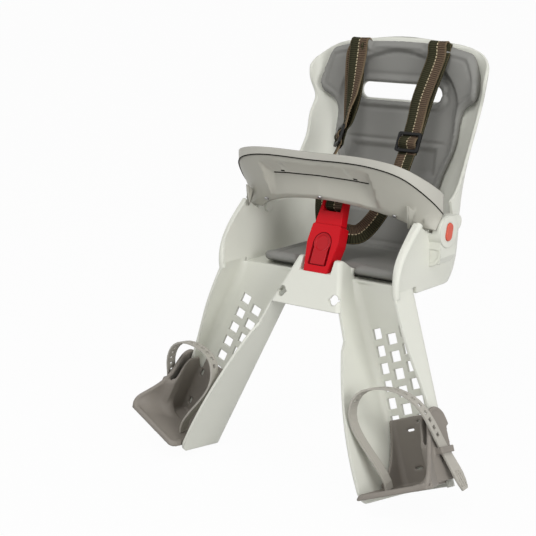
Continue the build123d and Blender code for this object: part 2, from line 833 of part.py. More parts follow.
with BuildPart() as footrest:
    add(rest_channel.part)
    # Sole, with a notch that the leg's outer wall passes through
    with BuildSketch(leg_plane.offset(sole_place)) as sole:
        Polygon(
            (rest_inner, clearance),
            (rest_outer, clearance),
            (rest_outer, rest_bridge),
            (ear_far, rest_bridge),
            (ear_far + 12, rest_front - 28),
            (ear_far + 10, rest_front - 18),
            (rest_inner + 4, rest_front),
            (rest_inner, rest_front - 8),
            align=None,
        )
        fillet(sole.vertices().sort_by(Axis.Y)[-2:], 6)
        fillet(sole.vertices().group_by(Axis.Y)[0], leg_corner)
    extrude(amount=rest_wall)
    # Front web and outer ear, with the leg's wall running behind them
    with BuildSketch(leg_plane.offset(rest_top - 10)):
        with BuildLine():
            FilletPolyline(
                (rest_outer - rest_wall / 2, rest_bridge - 12),
                (rest_outer - rest_wall / 2, rest_bridge + rest_wall / 2),
                ((ear_near + ear_far) / 2, rest_bridge + rest_wall / 2),
                (ear_far + 10.5, rest_front - 27),
                radius=rest_round,
            )
            offset(amount=rest_wall / 2)
        make_face()
        with Locations((ear_near, 6)):
            Rectangle(rest_wall, rest_bridge - 3, align=(Align.MIN, Align.MIN))
    extrude(amount=sole_place - rest_top + 10)
    with BuildSketch(leg_side_plane(rest_outer - 2 * rest_wall)):
        with BuildLine():
            ear = Spline(
                (-5, sole_place - 30),
                (6, rest_top + 12),
                (22, rest_top - 4),
                (36, rest_top + 4),
                (44, rest_top + 30),
                (58, rest_top + 50),
                (92, sole_place + 2),
            )
            Polyline(ear @ 1, (130, sole_place + 2), (130, 0), (-40, 0), (-40, sole_place - 30), ear @ 0)
        make_face()
    extrude(amount=80, mode=Mode.SUBTRACT)
    # Thick rounded lip along the front of the sole
    with BuildLine(leg_plane.offset(sole_place + rest_wall - rest_lip)):
        lip = FilletPolyline(
            (rest_inner + rest_lip, rest_bridge),
            (rest_inner + rest_lip + 1, rest_front - rest_lip),
            (ear_far + 7, rest_front - 18 - rest_lip),
            radius=2 * rest_lip,
        )
    with BuildSketch(Plane(origin=lip @ 0, z_dir=lip % 0)):
        Circle(rest_lip)
    sweep()
    # Loop that the strap passes through
    with BuildSketch(leg_plane.offset(strap_peg_s - strap_loop_length / 2)):
        with Locations((ear_far - 0.5, strap_peg_v)):
            Rectangle(
                loop_far - ear_far + 0.5,
                foot_strap_width + 2 * loop_slack + 2 * strap_loop_wall,
                align=(Align.MIN, Align.CENTER),
            )
        with Locations((loop_far - strap_loop_wall, strap_peg_v)):
            Rectangle(
                foot_strap_thickness + 2 * clearance + loop_tilt,
                foot_strap_width + 2 * loop_slack,
                align=(Align.MAX, Align.CENTER),
                mode=Mode.SUBTRACT,
            )
    extrude(amount=strap_loop_length)
    # Peg for the strap
    with BuildSketch(leg_side_plane(ear_near)):
        with Locations((strap_peg_v, strap_peg_s)):
            Circle(strap_peg_radius)
    extrude(amount=foot_strap_peg_u + foot_strap_thickness / 2 - ear_near)


def band(points, width, thickness, spread=lambda share: 1.0):
    """Flat strap through points, each a place and the direction that its width lies along.

    spread says how many times its width the strap has at a share of its points.
    """
    places = [Vector(*place) for place, across in points]
    with BuildPart() as strap:
        for index, (place, across) in enumerate(points):
            run = places[min(index + 1, len(places) - 1)] - places[max(index - 1, 0)]
            run = run.normalized()
            flat = Vector(*across)
            flat = flat - run * flat.dot(run)
            with BuildSketch(Plane(origin=place, x_dir=flat, z_dir=run)):
                Rectangle(width * spread(index / (len(points) - 1)), thickness)
        loft(ruled=True)
    return strap.part


def finger_tab(share):
    """Foot strap's spread at a share of its length: its end widens into a round finger tab."""
    tab = max(share - finger_tab_start, 0) / (1 - finger_tab_start)
    widest = finger_tab_width / foot_strap_width
    return (1 + (widest - 1) * min(1.5 * tab, 1)) * (1 - 5 * max(tab - 0.7, 0) ** 2)


# Rubber foot strap: one flat band with square holes and a finger tab
with BuildPart() as foot_strap:
    with BuildLine():
        route = Spline(*[leg_plane.from_local_coords(Vector(*place)) for place in foot_strap_route])
    forward = tuple(leg_plane.y_dir)
    shares = [step / foot_strap_steps for step in range(foot_strap_steps + 1)]
    add(
        band(
            [(tuple(route @ share), forward) for share in shares],
            foot_strap_width,
            foot_strap_thickness,
            finger_tab,
        )
    )
    for share in foot_strap_holes:
        with BuildSketch(
            Plane(route @ share, x_dir=route % share, z_dir=(route % share).cross(leg_plane.y_dir))
        ):
            Rectangle(foot_strap_hole, foot_strap_hole)
        extrude(amount=2 * foot_strap_thickness, both=True, mode=Mode.SUBTRACT)
    with BuildSketch(leg_side_plane(ear_far)):
        with Locations((strap_peg_v, strap_peg_s)):
            Circle(strap_peg_radius + clearance)
    extrude(amount=30, mode=Mode.SUBTRACT)

# Buckle: red body in the pocket, press button, return spring and tongue, in a leaning frame
buckle_slope = radians(buckle_lean)
buckle_plane = Plane(
    origin=(0, buckle_y, buckle_z),
    x_dir=(1, 0, 0),
    z_dir=(0, -cos(buckle_slope), sin(buckle_slope)),
)


def press_shape(gap, low, high):
    """Round button with its tab below, grown by gap, between two depths."""
    with BuildPart() as shape:
        with BuildSketch(buckle_plane.offset(low)):
            with Locations((0, press_place)):
                Circle(press_radius + gap)
            with Locations((0, press_tab_low - gap)):
                Rectangle(
                    2 * (press_tab_half + gap),
                    press_place - press_tab_low + gap,
                    align=(Align.CENTER, Align.MIN),
                )
        extrude(amount=high - low)
    return shape.part


with BuildPart() as buckle_body:
    with BuildSketch(buckle_plane.offset(-buckle_back)) as outline:
        Polygon(
            (-buckle_low_half, -4),
            (buckle_low_half, -4),
            (buckle_half, press_place),
            (buckle_half - 2, buckle_length),
            (2 - buckle_half, buckle_length),
            (-buckle_half, press_place),
            align=None,
        )
        fillet(outline.vertices(), 3)
    extrude(amount=buckle_back + buckle_front)
    split(bisect_by=Plane.XY.offset(pocket_floor), keep=Keep.TOP)
    add(press_shape(clearance, press_floor, buckle_front + 5), mode=Mode.SUBTRACT)
    # Slots beside the button's tab
    with BuildSketch(buckle_plane.offset(press_floor)):
        for side in (1, -1):
            with Locations((side * (press_tab_half + press_slot / 2), press_tab_low)):
                Rectangle(press_slot, press_place - press_tab_low, align=(Align.CENTER, Align.MIN))
    extrude(amount=2 * buckle_front, mode=Mode.SUBTRACT)
    # Slot that the tongue's blade enters
    with BuildSketch(buckle_plane.offset(-blade_thickness / 2 - clearance)):
        with Locations((0, buckle_length)):
            Rectangle(
                2 * (blade_half + clearance),
                blade_length + 2 * clearance,
                align=(Align.CENTER, Align.MAX),
            )
    extrude(amount=blade_thickness + 2 * clearance, mode=Mode.SUBTRACT)
    with BuildSketch(Plane.XY.offset(pocket_floor)):
        with Locations((0, buckle_foot_y)):
            Circle(buckle_screw_radius)
    extrude(amount=buckle_screw_grip, mode=Mode.SUBTRACT)
buckle_body.part.label = "buckle_body"

with BuildPart() as buckle_button:
    add(press_shape(0, buckle_front - press_depth, buckle_front + press_proud))
    # Dished face, and a pocket for the spring behind it
    with BuildSketch(buckle_plane.offset(buckle_front + press_proud)):
        with Locations((0, press_place)):
            Circle(press_radius - 2)
    extrude(amount=-press_dish, taper=45, mode=Mode.SUBTRACT)
    with BuildSketch(buckle_plane.offset(buckle_front - press_depth)):
        with Locations((0, press_place)):
            Circle(spring_radius + 0.6)
    extrude(amount=press_depth - 2, mode=Mode.SUBTRACT)
buckle_button.part.label = "buckle_button"

with BuildPart() as buckle_spring:
    spring_length = buckle_front - 2 - press_floor - 1.1 * spring_wire
    with BuildLine():
        coil = Helix(
            pitch=spring_length / spring_turns,
            height=spring_length,
            radius=spring_radius - spring_wire / 2,
            center=buckle_plane.from_local_coords(Vector(0, press_place, press_floor + 0.55 * spring_wire)),
            direction=buckle_plane.z_dir,
        )
    with BuildSketch(Plane(origin=coil @ 0, z_dir=coil % 0)):
        Rectangle(spring_wire, spring_wire)
    sweep(is_frenet=True)
buckle_spring.part.label = "buckle_spring"

with BuildPart() as buckle_tongue:
    with BuildSketch(buckle_plane.offset(-tongue_back)) as outline:
        Polygon(
            (-tongue_half, buckle_length + clearance),
            (tongue_half, buckle_length + clearance),
            (tongue_half - 4, tongue_top),
            (4 - tongue_half, tongue_top),
            align=None,
        )
        with Locations((0, tongue_window)):
            Rectangle(strap_width + 2, 40, align=(Align.CENTER, Align.MIN), mode=Mode.SUBTRACT)
    extrude(amount=tongue_back + tongue_front)
    # Bar that the webbing goes round
    with BuildSketch(buckle_plane.offset(tongue_bar_back)):
        with Locations((0, (tongue_bar_low + tongue_bar_high) / 2)):
            Rectangle(strap_width + 5, tongue_bar_high - tongue_bar_low)
    extrude(amount=tongue_bar_front - tongue_bar_back)
    with BuildSketch(buckle_plane.offset(-blade_thickness / 2)):
        with Locations((0, buckle_length + clearance)):
            Rectangle(2 * blade_half, blade_length, align=(Align.CENTER, Align.MAX))
    extrude(amount=blade_thickness)
buckle_tongue.part.label = "buckle_tongue"

with BuildPart() as buckle_screw:
    with BuildSketch(Plane.XY.offset(pocket_floor - panel_wall)):
        with Locations((0, buckle_foot_y)):
            Circle(buckle_screw_radius)
    extrude(amount=panel_wall + buckle_screw_grip)
    with BuildSketch(Plane.XY.offset(pocket_floor - panel_wall)):
        with Locations((0, buckle_foot_y)):
            Circle(2 * buckle_screw_radius)
    extrude(amount=-3)
buckle_screw.part.label = "buckle_screw"


# Harness webbing
level = (1, 0, 0)
adjuster_place = Vector(adjuster_x, adjuster_y, adjuster_z)
strap_bend = Vector(strap_x, strap_bend_y, strap_bend_z)
adjuster_plane = Plane(
    origin=adjuster_place,
    x_dir=(1, 0, 0),
    z_dir=(strap_bend - adjuster_place).cross(Vector(-1, 0, 0)),
)
ride = adjuster_thickness / 2 + strap_thickness / 2 + clearance


def on_adjuster(along, lift):
    """Place on the strap's line at the adjuster."""
    return tuple(adjuster_plane.from_local_coords(Vector(0, along, lift)))


with BuildPart() as shoulder_strap:
    over_bar = adjuster_bar / 2 + 1
    add(
        band(
            [
                ((strap_x, strap_end_y, strap_slot_height), level),
                ((strap_x, strap_end_y - 12, strap_slot_height + 0.5), level),
                ((strap_x, strap_bend_y + 10, strap_slot_height + 2.5), level),
                ((strap_x, strap_bend_y + 4, strap_slot_height), level),
                (tuple(strap_bend), level),
                (on_adjuster(adjuster_height / 2 + 2, -ride), level),
                (on_adjuster(over_bar + 5.8, -ride), level),
                (on_adjuster(over_bar, ride), level),
                (on_adjuster(-over_bar, ride), level),
                (on_adjuster(-over_bar - 5.8, -ride), level),
                (on_adjuster(-adjuster_height / 2 - 2, -ride), level),
            ],
            strap_width,
            strap_thickness,
        )
    )

with BuildPart() as adjuster:
    with BuildSketch(adjuster_plane.offset(-adjuster_thickness / 2)) as frame:
        RectangleRounded(adjuster_width, adjuster_height, 3)
        slot = (adjuster_height - 3 * adjuster_bar) / 2
        with GridLocations(1, slot + adjuster_bar, 1, 2):
            Rectangle(strap_width + 2, slot, mode=Mode.SUBTRACT)
    extrude(amount=adjuster_thickness)

with BuildPart() as strap_anchor:
    with Locations((strap_x, strap_end_y + 2, strap_slot_height)):
        Box(strap_width + 14, 7, 18, align=(Align.CENTER, Align.MAX, Align.CENTER))
        Box(
            strap_width + 2,
            20,
            strap_thickness + 2,
            align=(Align.CENTER, Align.MAX, Align.CENTER),
            mode=Mode.SUBTRACT,
        )


def on_buckle(along, lift):
    """Place on the buckle's middle line."""
    return tuple(buckle_plane.from_local_coords(Vector(0, along, lift)))


with BuildPart() as lap_strap:
    # Loop round the tongue's bar; its ends lie behind the body
    round_bar = strap_thickness / 2 + 0.6
    behind = buckle_back + 2 * strap_thickness / 2
    add(
        band(
            [
                (on_buckle(buckle_length - 10, -behind), level),
                (on_buckle(tongue_window + 2.5, 0.8 - behind), level),
                (on_buckle(tongue_bar_low + 1, -tongue_back - 1), level),
                (on_buckle(tongue_bar_high + round_bar, tongue_bar_back - 1.6), level),
                (on_buckle(tongue_bar_high + round_bar, tongue_bar_front + 0.7), level),
                (on_buckle(tongue_bar_high, tongue_bar_front + round_bar + 0.2), level),
                (on_buckle(tongue_window + 7, tongue_bar_front + round_bar + 0.2), level),
                (on_buckle(tongue_window + 4, tongue_bar_back + 2), level),
                (on_buckle(tongue_window + 3, 0.8 - tongue_back), level),
                (on_buckle(tongue_window - 1, -tongue_back - 2.6), level),
                (on_buckle(buckle_length + 10, 2.5 - behind), level),
            ],
            strap_width,
            strap_thickness,
        )
    )
    half = band(
        [
            (on_buckle(buckle_length - 2, -behind - 0.4), (0.3, 0, -1)),
            ((27, 76, 70), (0.75, 0, -0.65)),
            ((47, 100, 105), (1, 0, -0.2)),
            ((adjuster_x, 122, 142), level),
            (on_adjuster(-adjuster_height / 2 - 3, -ride), level),
        ],
        strap_width,
        strap_thickness,
    )
    add(half)
    mirror(half, about=Plane.YZ)
lap_strap.part.label = "lap_strap"

# Pieces that repeat on both sides
sided = {
    "pivot_pin": pivot_pin.part,
    "release_button": release_button.part,
    "release_spring": release_spring.part,
    "footrest": footrest.part,
    "foot_strap": foot_strap.part,
    "shoulder_strap": shoulder_strap.part,
    "adjuster": adjuster.part,
    "strap_anchor": strap_anchor.part,
}
single = [
    shell,
    back_pad,
    seat_pad,
    bar_lower,
    bar_cover,
    bar_screws,
    buckle_body,
    buckle_button,
    buckle_spring,
    buckle_tongue,
    buckle_screw,
    lap_strap,
]

os.makedirs("parts", exist_ok=True)
for piece in single:
    export_step(piece.part, f"parts/{piece.part.label}.step")
for name, right in sided.items():
    right.label = f"{name}_left"
    export_step(right, f"parts/{name}_left.step")
    with BuildPart() as other:
        mirror(right, about=Plane.YZ)
    other.part.label = f"{name}_right"
    export_step(other.part, f"parts/{name}_right.step")
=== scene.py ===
import math
from math import radians

import bmesh
import bpy
from mathutils import Matrix, Vector
from mathutils.kdtree import KDTree


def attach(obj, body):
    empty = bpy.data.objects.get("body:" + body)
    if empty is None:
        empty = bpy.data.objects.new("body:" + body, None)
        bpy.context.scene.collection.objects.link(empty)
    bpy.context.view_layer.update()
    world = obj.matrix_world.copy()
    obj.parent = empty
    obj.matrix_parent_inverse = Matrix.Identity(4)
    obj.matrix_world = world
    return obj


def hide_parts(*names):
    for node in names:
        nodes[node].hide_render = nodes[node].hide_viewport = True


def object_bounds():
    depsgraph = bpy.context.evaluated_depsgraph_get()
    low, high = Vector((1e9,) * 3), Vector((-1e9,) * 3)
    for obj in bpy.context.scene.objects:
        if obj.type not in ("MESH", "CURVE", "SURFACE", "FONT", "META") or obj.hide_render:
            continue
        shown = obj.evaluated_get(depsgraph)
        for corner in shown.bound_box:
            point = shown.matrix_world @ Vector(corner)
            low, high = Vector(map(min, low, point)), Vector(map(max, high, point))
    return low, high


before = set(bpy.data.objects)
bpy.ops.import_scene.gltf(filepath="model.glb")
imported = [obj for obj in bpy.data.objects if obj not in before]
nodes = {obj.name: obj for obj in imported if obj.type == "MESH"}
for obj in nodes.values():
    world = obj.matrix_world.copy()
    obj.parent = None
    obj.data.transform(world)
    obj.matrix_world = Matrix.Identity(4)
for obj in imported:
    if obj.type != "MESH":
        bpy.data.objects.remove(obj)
cad_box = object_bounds()

# Shell: one ivory polypropylene moulding with a fine matt grain. It holds the pan, back, wings, front
# panel, leg channels and knuckles. Its free edges are softly rounded, and a cheek closes the front of
# each knuckle.
shell_colour = (0.70, 0.705, 0.635, 1.0)
gloss_drift = 0.06
cheek_low = (0.1326, 0.0706, 0.0480)
cheek_high = (0.1478, 0.0726, 0.0664)
hands = ((1, "left"), (-1, "right"))


def moulded_grain_group():
    """Node group for the fine grain that a textured mould leaves, as a height and a tone."""
    group = bpy.data.node_groups.new("moulded_grain", "ShaderNodeTree")
    group.interface.new_socket("Scale", in_out="INPUT", socket_type="NodeSocketFloat")
    group.interface.new_socket("Height", in_out="OUTPUT", socket_type="NodeSocketFloat")
    group.interface.new_socket("Tone", in_out="OUTPUT", socket_type="NodeSocketFloat")
    inlet = group.nodes.new("NodeGroupInput")
    outlet = group.nodes.new("NodeGroupOutput")
    place = group.nodes.new("ShaderNodeTexCoord")
    grain = group.nodes.new("ShaderNodeTexNoise")
    grain.inputs["Detail"].default_value = 3.0
    grain.inputs["Roughness"].default_value = 0.6
    cloud = group.nodes.new("ShaderNodeTexNoise")
    cloud.inputs["Scale"].default_value = 22.0
    cloud.inputs["Detail"].default_value = 4.0
    group.links.new(place.outputs["Object"], grain.inputs["Vector"])
    group.links.new(place.outputs["Object"], cloud.inputs["Vector"])
    group.links.new(inlet.outputs["Scale"], grain.inputs["Scale"])
    group.links.new(grain.outputs["Fac"], outlet.inputs["Height"])
    group.links.new(cloud.outputs["Fac"], outlet.inputs["Tone"])
    return group


moulded_grain = moulded_grain_group()


def moulded_plastic(name, colour, roughness, grain_size, edge, depth=0.00004, spread=0.04, sheen=0.3):
    """Grained plastic with softly rounded edges; its tone drifts a little over the surface."""
    material = bpy.data.materials.new(name)
    material.use_nodes = True
    tree = material.node_tree
    shader = tree.nodes["Principled BSDF"]
    shader.inputs["Specular IOR Level"].default_value = sheen
    grain = tree.nodes.new("ShaderNodeGroup")
    grain.node_tree = moulded_grain
    grain.inputs["Scale"].default_value = grain_size
    tone = tree.nodes.new("ShaderNodeMix")
    tone.data_type = "RGBA"
    tone.inputs["A"].default_value = [channel * (1 - spread) for channel in colour[:3]] + [1]
    tone.inputs["B"].default_value = [min(channel * (1 + spread), 1) for channel in colour[:3]] + [1]
    gloss = tree.nodes.new("ShaderNodeMapRange")
    gloss.inputs["To Min"].default_value = roughness - gloss_drift
    gloss.inputs["To Max"].default_value = roughness + gloss_drift
    rounded = tree.nodes.new("ShaderNodeBevel")
    rounded.samples = 6
    rounded.inputs["Radius"].default_value = edge
    bump = tree.nodes.new("ShaderNodeBump")
    bump.inputs["Distance"].default_value = depth
    tree.links.new(grain.outputs["Tone"], tone.inputs["Factor"])
    tree.links.new(grain.outputs["Tone"], gloss.inputs["Value"])
    tree.links.new(grain.outputs["Height"], bump.inputs["Height"])
    tree.links.new(rounded.outputs["Normal"], bump.inputs["Normal"])
    tree.links.new(tone.outputs["Result"], shader.inputs["Base Color"])
    tree.links.new(gloss.outputs["Result"], shader.inputs["Roughness"])
    tree.links.new(bump.outputs["Normal"], shader.inputs["Normal"])
    return material


def dress(names, material):
    """Gives CAD nodes their finish."""
    for name in names:
        mesh = nodes[name].data
        mesh.materials.clear()
        mesh.materials.append(material)


def add_box(shape, low, high):
    """Adds a box between two corners to a bmesh."""
    for vert in bmesh.ops.create_cube(shape, size=1.0)["verts"]:
        vert.co = Vector(a + (share + 0.5) * (b - a) for a, b, share in zip(low, high, vert.co))


def add_piece(name, shape, material):
    """Object in the scene made from a bmesh, with one material."""
    mesh = bpy.data.meshes.new(name)
    shape.to_mesh(mesh)
    shape.free()
    mesh.materials.append(material)
    obj = bpy.data.objects.new(name, mesh)
    bpy.context.scene.collection.objects.link(obj)
    return obj


ivory = moulded_plastic("ivory_shell", shell_colour, roughness=0.42, grain_size=1400.0, edge=0.0018)
dress(["shell"], ivory)
for side, hand in hands:
    cheek = bmesh.new()
    add_box(cheek, cheek_low, cheek_high)
    bmesh.ops.scale(cheek, verts=cheek.verts, vec=(side, 1, 1))
    bmesh.ops.recalc_face_normals(cheek, faces=cheek.faces)
    knuckle_cheek = add_piece(f"knuckle_cheek_{hand}", cheek, ivory)
    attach(knuckle_cheek, "seat")

# Back pad: one foam moulding with a skinned face, laid in the tub. A rolled rim runs round it and round
# its slot, an arch parts the sunk middle from the side bolsters, and two panels are pressed in below.
pad_colour = (0.235, 0.233, 0.218, 1.0)
pad_voxel = 0.0019
merge_gap = 0.00002
pad_rounds = 5
rim_spacing = 0.002
rim_half = 0.56
rim_groove_place = 2.1
rim_groove_half = 0.4
rim_edge = 0.0045
rim_rounds = 4
relief_start = (0.002, 0.008)
pad_plain_top = [(0.0, 0.2956), (0.010, 0.2931), (0.020, 0.2920), (0.040, 0.2912), (0.079, 0.2890)]
pad_plain_top += [(0.090, 0.2868), (0.100, 0.2833), (0.105, 0.2805)]
pad_top_middle = 0.3005
pad_top_drop = 0.0115
pad_top_curve = 2.4
pad_top_foot = 0.255
pad_top_ease = 0.004
pad_top_slack = 0.0006
pad_shoulder = 0.105
pad_shoulder_end = 0.120
pad_notches = [((side * 0.041, 0.1999, 0.280), (side * 0.079, 0.2087, 0.2915)) for side in (1, -1)]
notch_across = (0.0405, 0.0795)
notch_upright = (0.2795, 0.2950)
sitter = Vector((0.0, 0.06, 0.0))
back_lean = 0.35
arch_half = 0.090
arch_spring = 0.222
arch_crown = 0.067
arch_step = 0.0060
arch_sunk_share = 0.45
arch_flank = (-0.004, 0.003)
arch_groove = 0.0014
arch_groove_place = -0.003
arch_groove_half = 0.0025
crease_height = 0.174
crease_depth = 0.0022
crease_half = 0.0022
crease_end = (0.066, 0.080)
lumbar_panels = [(0.066, 0.150, 0.018), (0.062, 0.100, 0.020)]
lumbar_depth = 0.0042
lumbar_flank = (-0.002, 0.006)


def ease(value, low, high):
    """Smooth change from 0 at low to 1 at high."""
    share = min(max((value - low) / (high - low), 0.0), 1.0)
    return share * share * (3.0 - 2.0 * share)


def swell(offset, half):
    """Round swelling, 1 on its middle line and little past its half width."""
    return math.exp(-((offset / half) ** 2))


def along_line(points, place):
    """Value between the points of a line at a place."""
    for (start, low), (end, high) in zip(points, points[1:]):
        if place <= end:
            return low + (high - low) * (place - start) / (end - start)
    return points[-1][1]


def merged_copy(source):
    """Bmesh of a CAD node with its loose triangles joined up."""
    shape = bmesh.new()
    shape.from_mesh(nodes[source].data)
    bmesh.ops.remove_doubles(shape, verts=shape.verts, dist=merge_gap)
    return shape


def apply_modifiers(obj):
    """Makes an object's modifiers part of its mesh."""
    finished = obj.evaluated_get(bpy.context.evaluated_depsgraph_get())
    obj.data = bpy.data.meshes.new_from_object(finished)
    obj.modifiers.clear()


def remesh_evenly(obj, voxel):
    """Meshes an object anew in even small faces."""
    remesh = obj.modifiers.new("even", "REMESH")
    remesh.mode = "VOXEL"
    remesh.voxel_size = voxel
    apply_modifiers(obj)


def smooth_out(shape, verts, rounds):
    """Evens out vertices of a bmesh."""
    for _ in range(rounds):
        bmesh.ops.smooth_vert(
            shape, verts=verts, factor=0.5, use_axis_x=True, use_axis_y=True, use_axis_z=True
        )


def soft_copy(name, source, fillings=()):
    """Evenly meshed copy of a CAD pad with boxes filled in, and the solid that it is made from."""
    shape = merged_copy(source)
    for low, high in fillings:
        add_box(shape, low, high)
    obj = add_piece(name, shape, pad_grey)
    solid = obj.data
    remesh_evenly(obj, pad_voxel)
    return obj, solid


def in_notch(spot):
    """Whether a spot lies on the edge of a strap notch that is filled in."""
    inside_across = notch_across[0] < abs(spot.x) < notch_across[1]
    return inside_across and notch_upright[0] < spot.z < notch_upright[1]


def rim_tree(solid, faces_sitter):
    """Search tree of points along the edge where the face towards the sitter ends."""
    shape = bmesh.new()
    shape.from_mesh(solid)
    spots = []
    for edge in shape.edges:
        sides = [faces_sitter(face.normal, face.calc_center_median()) for face in edge.link_faces]
        if len(sides) == 2 and sides[0] != sides[1]:
            start, end = (vert.co for vert in edge.verts)
            steps = 1 + int(edge.calc_length() / rim_spacing)
            line = [start.lerp(end, step / steps) for step in range(steps + 1)]
            spots += [spot for spot in line if not in_notch(spot)]
    shape.free()
    tree = KDTree(len(spots))
    for index, spot in enumerate(spots):
        tree.insert(spot, index)
    tree.balance()
    return tree


def mould_pad(obj, solid, faces_sitter, relief, rise, place, groove):
    """Smooths an even copy, then presses the rolled rim and the pad's own relief into its face."""
    shape = bmesh.new()
    shape.from_mesh(obj.data)
    smooth_out(shape, shape.verts, pad_rounds)
    shape.normal_update()
    tree = rim_tree(solid, faces_sitter)
    for vert in shape.verts:
        if faces_sitter(vert.normal, vert.co):
            inward = tree.find(vert.co)[2]
            rim = rise * swell(inward - place, rim_half * place)
            rim -= groove * swell(inward - rim_groove_place * place, rim_groove_half * place)
            vert.co += vert.normal * (rim + relief(vert.co) * ease(inward, *relief_start))
    smooth_out(shape, [vert for vert in shape.verts if tree.find(vert.co)[2] < rim_edge], rim_rounds)
    for face in shape.faces:
        face.smooth = True
    shape.to_mesh(obj.data)
    shape.free()


def back_faces_sitter(normal, place):
    """Whether a spot of the back pad looks into the tub."""
    towards = sitter - place
    towards.z = 0.0
    return normal.dot(towards.normalized()) > back_lean


def back_relief(place):
    """Height of the back pad's face over its plain solid."""
    across = abs(place.x)
    if place.z < arch_spring:
        outside = across - arch_half
    else:
        outside = (math.hypot(across / arch_half, (place.z - arch_spring) / arch_crown) - 1.0) * arch_half
    height = arch_step * (ease(outside, *arch_flank) - arch_sunk_share)
    height -= arch_groove * swell(outside - arch_groove_place, arch_groove_half)
    crease = swell(place.z - crease_height, crease_half) * (1.0 - ease(across, *crease_end))
    height -= crease_depth * crease
    for half, middle, reach in lumbar_panels:
        inside = min(half - across, reach - abs(place.z - middle))
        height -= lumbar_depth * ease(inside, *lumbar_flank)
    return height


def level_top(mesh):
    """Draws the pad's top line up to an even arch just under the shell's edge."""
    for vert in mesh.vertices:
        across = min(abs(vert.co.x), pad_shoulder)
        top = along_line(pad_plain_top, across)
        wanted = pad_top_middle - pad_top_drop * (across / pad_shoulder) ** pad_top_curve
        share = ease(vert.co.z, pad_top_foot, top - pad_top_ease)
        share *= 1.0 - ease(abs(vert.co.x), pad_shoulder, pad_shoulder_end)
        vert.co.z = min(vert.co.z + (wanted - top) * share, wanted + pad_top_slack)


pad_grey = moulded_plastic(
    "pad_grey", pad_colour, roughness=0.62, grain_size=900.0, edge=0.0008, depth=0.00008
)
back_pad, back_solid = soft_copy("back_cushion", "back_pad", pad_notches)
level_top(back_pad.data)
level_top(back_solid)
mould_pad(back_pad, back_solid, back_faces_sitter, back_relief, rise=0.0018, place=0.005, groove=0.0013)
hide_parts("back_pad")
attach(back_pad, "seat")

# Seat pad: the same foam, a flat moulding on the pan that crowns a little and rolls up at its rim, so
# that a dark gap shows under its front edge.
seat_lean = 0.5
seat_crown = 0.0025
seat_half = 0.1
seat_front = 0.039
seat_lip_length = 0.024
seat_lip_rise = 0.0030
seat_lip_gap = 0.0080
seat_lip_height = (0.0215, 0.0330)


def seat_faces_sitter(normal, place):
    """Whether a spot of the seat pad looks up."""
    return normal.z > seat_lean


def seat_relief(place):
    """Height of the seat pad's face over its plain solid."""
    return seat_crown * (1.0 - min(abs(place.x) / seat_half, 1.0) ** 2)


seat_pad, seat_solid = soft_copy("seat_cushion", "seat_pad")
mould_pad(seat_pad, seat_solid, seat_faces_sitter, seat_relief, rise=0.0016, place=0.006, groove=0.0018)
for vert in seat_pad.data.vertices:
    front = 1.0 - ease(vert.co.y, seat_front, seat_front + seat_lip_length)
    under = 1.0 - ease(vert.co.z, *seat_lip_height)
    vert.co.z += front * (seat_lip_rise + (seat_lip_gap - seat_lip_rise) * under)
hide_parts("seat_pad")
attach(seat_pad, "seat")

# Safety bar: a warm-grey tray with a lighter wedge-shaped cover, screwed from below. The tray's front is
# scooped for the fingers, deepest under a ledge that shows two clips. Thin near-black strips of painted
# shade stand for the shadow in the line that parts the tray from its cover, along the ledge and under it
# at the two clips.
bar_colour = (0.45, 0.44, 0.385, 1)
cover_colour = (0.48, 0.47, 0.42, 1)
bar_painted_shade_colour = (0.012, 0.011, 0.009, 1)
bar_pivot = Vector((0.0, 0.086, 0.086))
bar_fore = Vector((0.0, -0.766044, 0.642788))
bar_up = Vector((0.0, 0.642788, 0.766044))
bar_parting = 0.012
bar_bottom = -0.011
bar_front = [(0.0, 0.115), (0.050, 0.1137), (0.100, 0.109), (0.122, 0.096)]
bar_foot = [(0.0, 0.072), (0.056, 0.065), (0.090, 0.053), (0.121, 0.034)]
scoop_top = 0.0080
scoop_depth = 0.0215
scoop_foot_depth = 0.0020
scoop_flat = 0.073
scoop_reach = 0.082
scoop_end = 0.8
scoop_end_rise = 0.0008
scoop_overcut = 0.004
scoop_pull = 0.05
hard_edge = radians(32)
seam_half = 0.0006
seam_lift = 0.0005
seam_slack = 0.00005
seam_wall_lean = 0.9
line_thickness = 0.0006
line_merge = 0.00005
ledge_steps = 18
ledge_step = 0.004
ledge_lift = 0.0004
clip_place = 0.055
clip_half = 0.0028
clip_back = 0.0025
clip_front = 0.0050


def on_front(across, height):
    """Place on the tray's front, across the bar and at a height over its pivot."""
    share = (height - bar_bottom) / (bar_parting - bar_bottom)
    low, high = along_line(bar_foot, abs(across)), along_line(bar_front, abs(across))
    return bar_pivot + Vector((across, 0, 0)) + bar_fore * (low + (high - low) * share) + bar_up * height


def scoop_face(across, height):
    """Place on the scoop in the tray's front."""
    drop = (height - bar_bottom) / (scoop_top - bar_bottom)
    depth = scoop_foot_depth + (scoop_depth - scoop_foot_depth) * drop
    depth *= 1.0 - ease(abs(across), scoop_flat, scoop_reach)
    depth -= scoop_end_rise * ease(abs(across), scoop_end * scoop_reach, scoop_reach)
    return on_front(across, height) - bar_fore * depth


def scoop_block():
    """Bmesh of what the finger scoop takes out of the tray."""
    shape = bmesh.new()
    sheet = bmesh.ops.create_grid(shape, x_segments=48, y_segments=10, size=0.5)
    for vert in sheet["verts"]:
        height = scoop_top + (vert.co.y - 0.5) * (scoop_top - bar_bottom + scoop_overcut)
        vert.co = scoop_face(2.0 * vert.co.x * scoop_reach, height)
    pulled = bmesh.ops.extrude_face_region(shape, geom=list(shape.faces))["geom"]
    moved = [part for part in pulled if isinstance(part, bmesh.types.BMVert)]
    bmesh.ops.translate(shape, verts=moved, vec=bar_fore * scoop_pull)
    bmesh.ops.recalc_face_normals(shape, faces=shape.faces)
    return shape


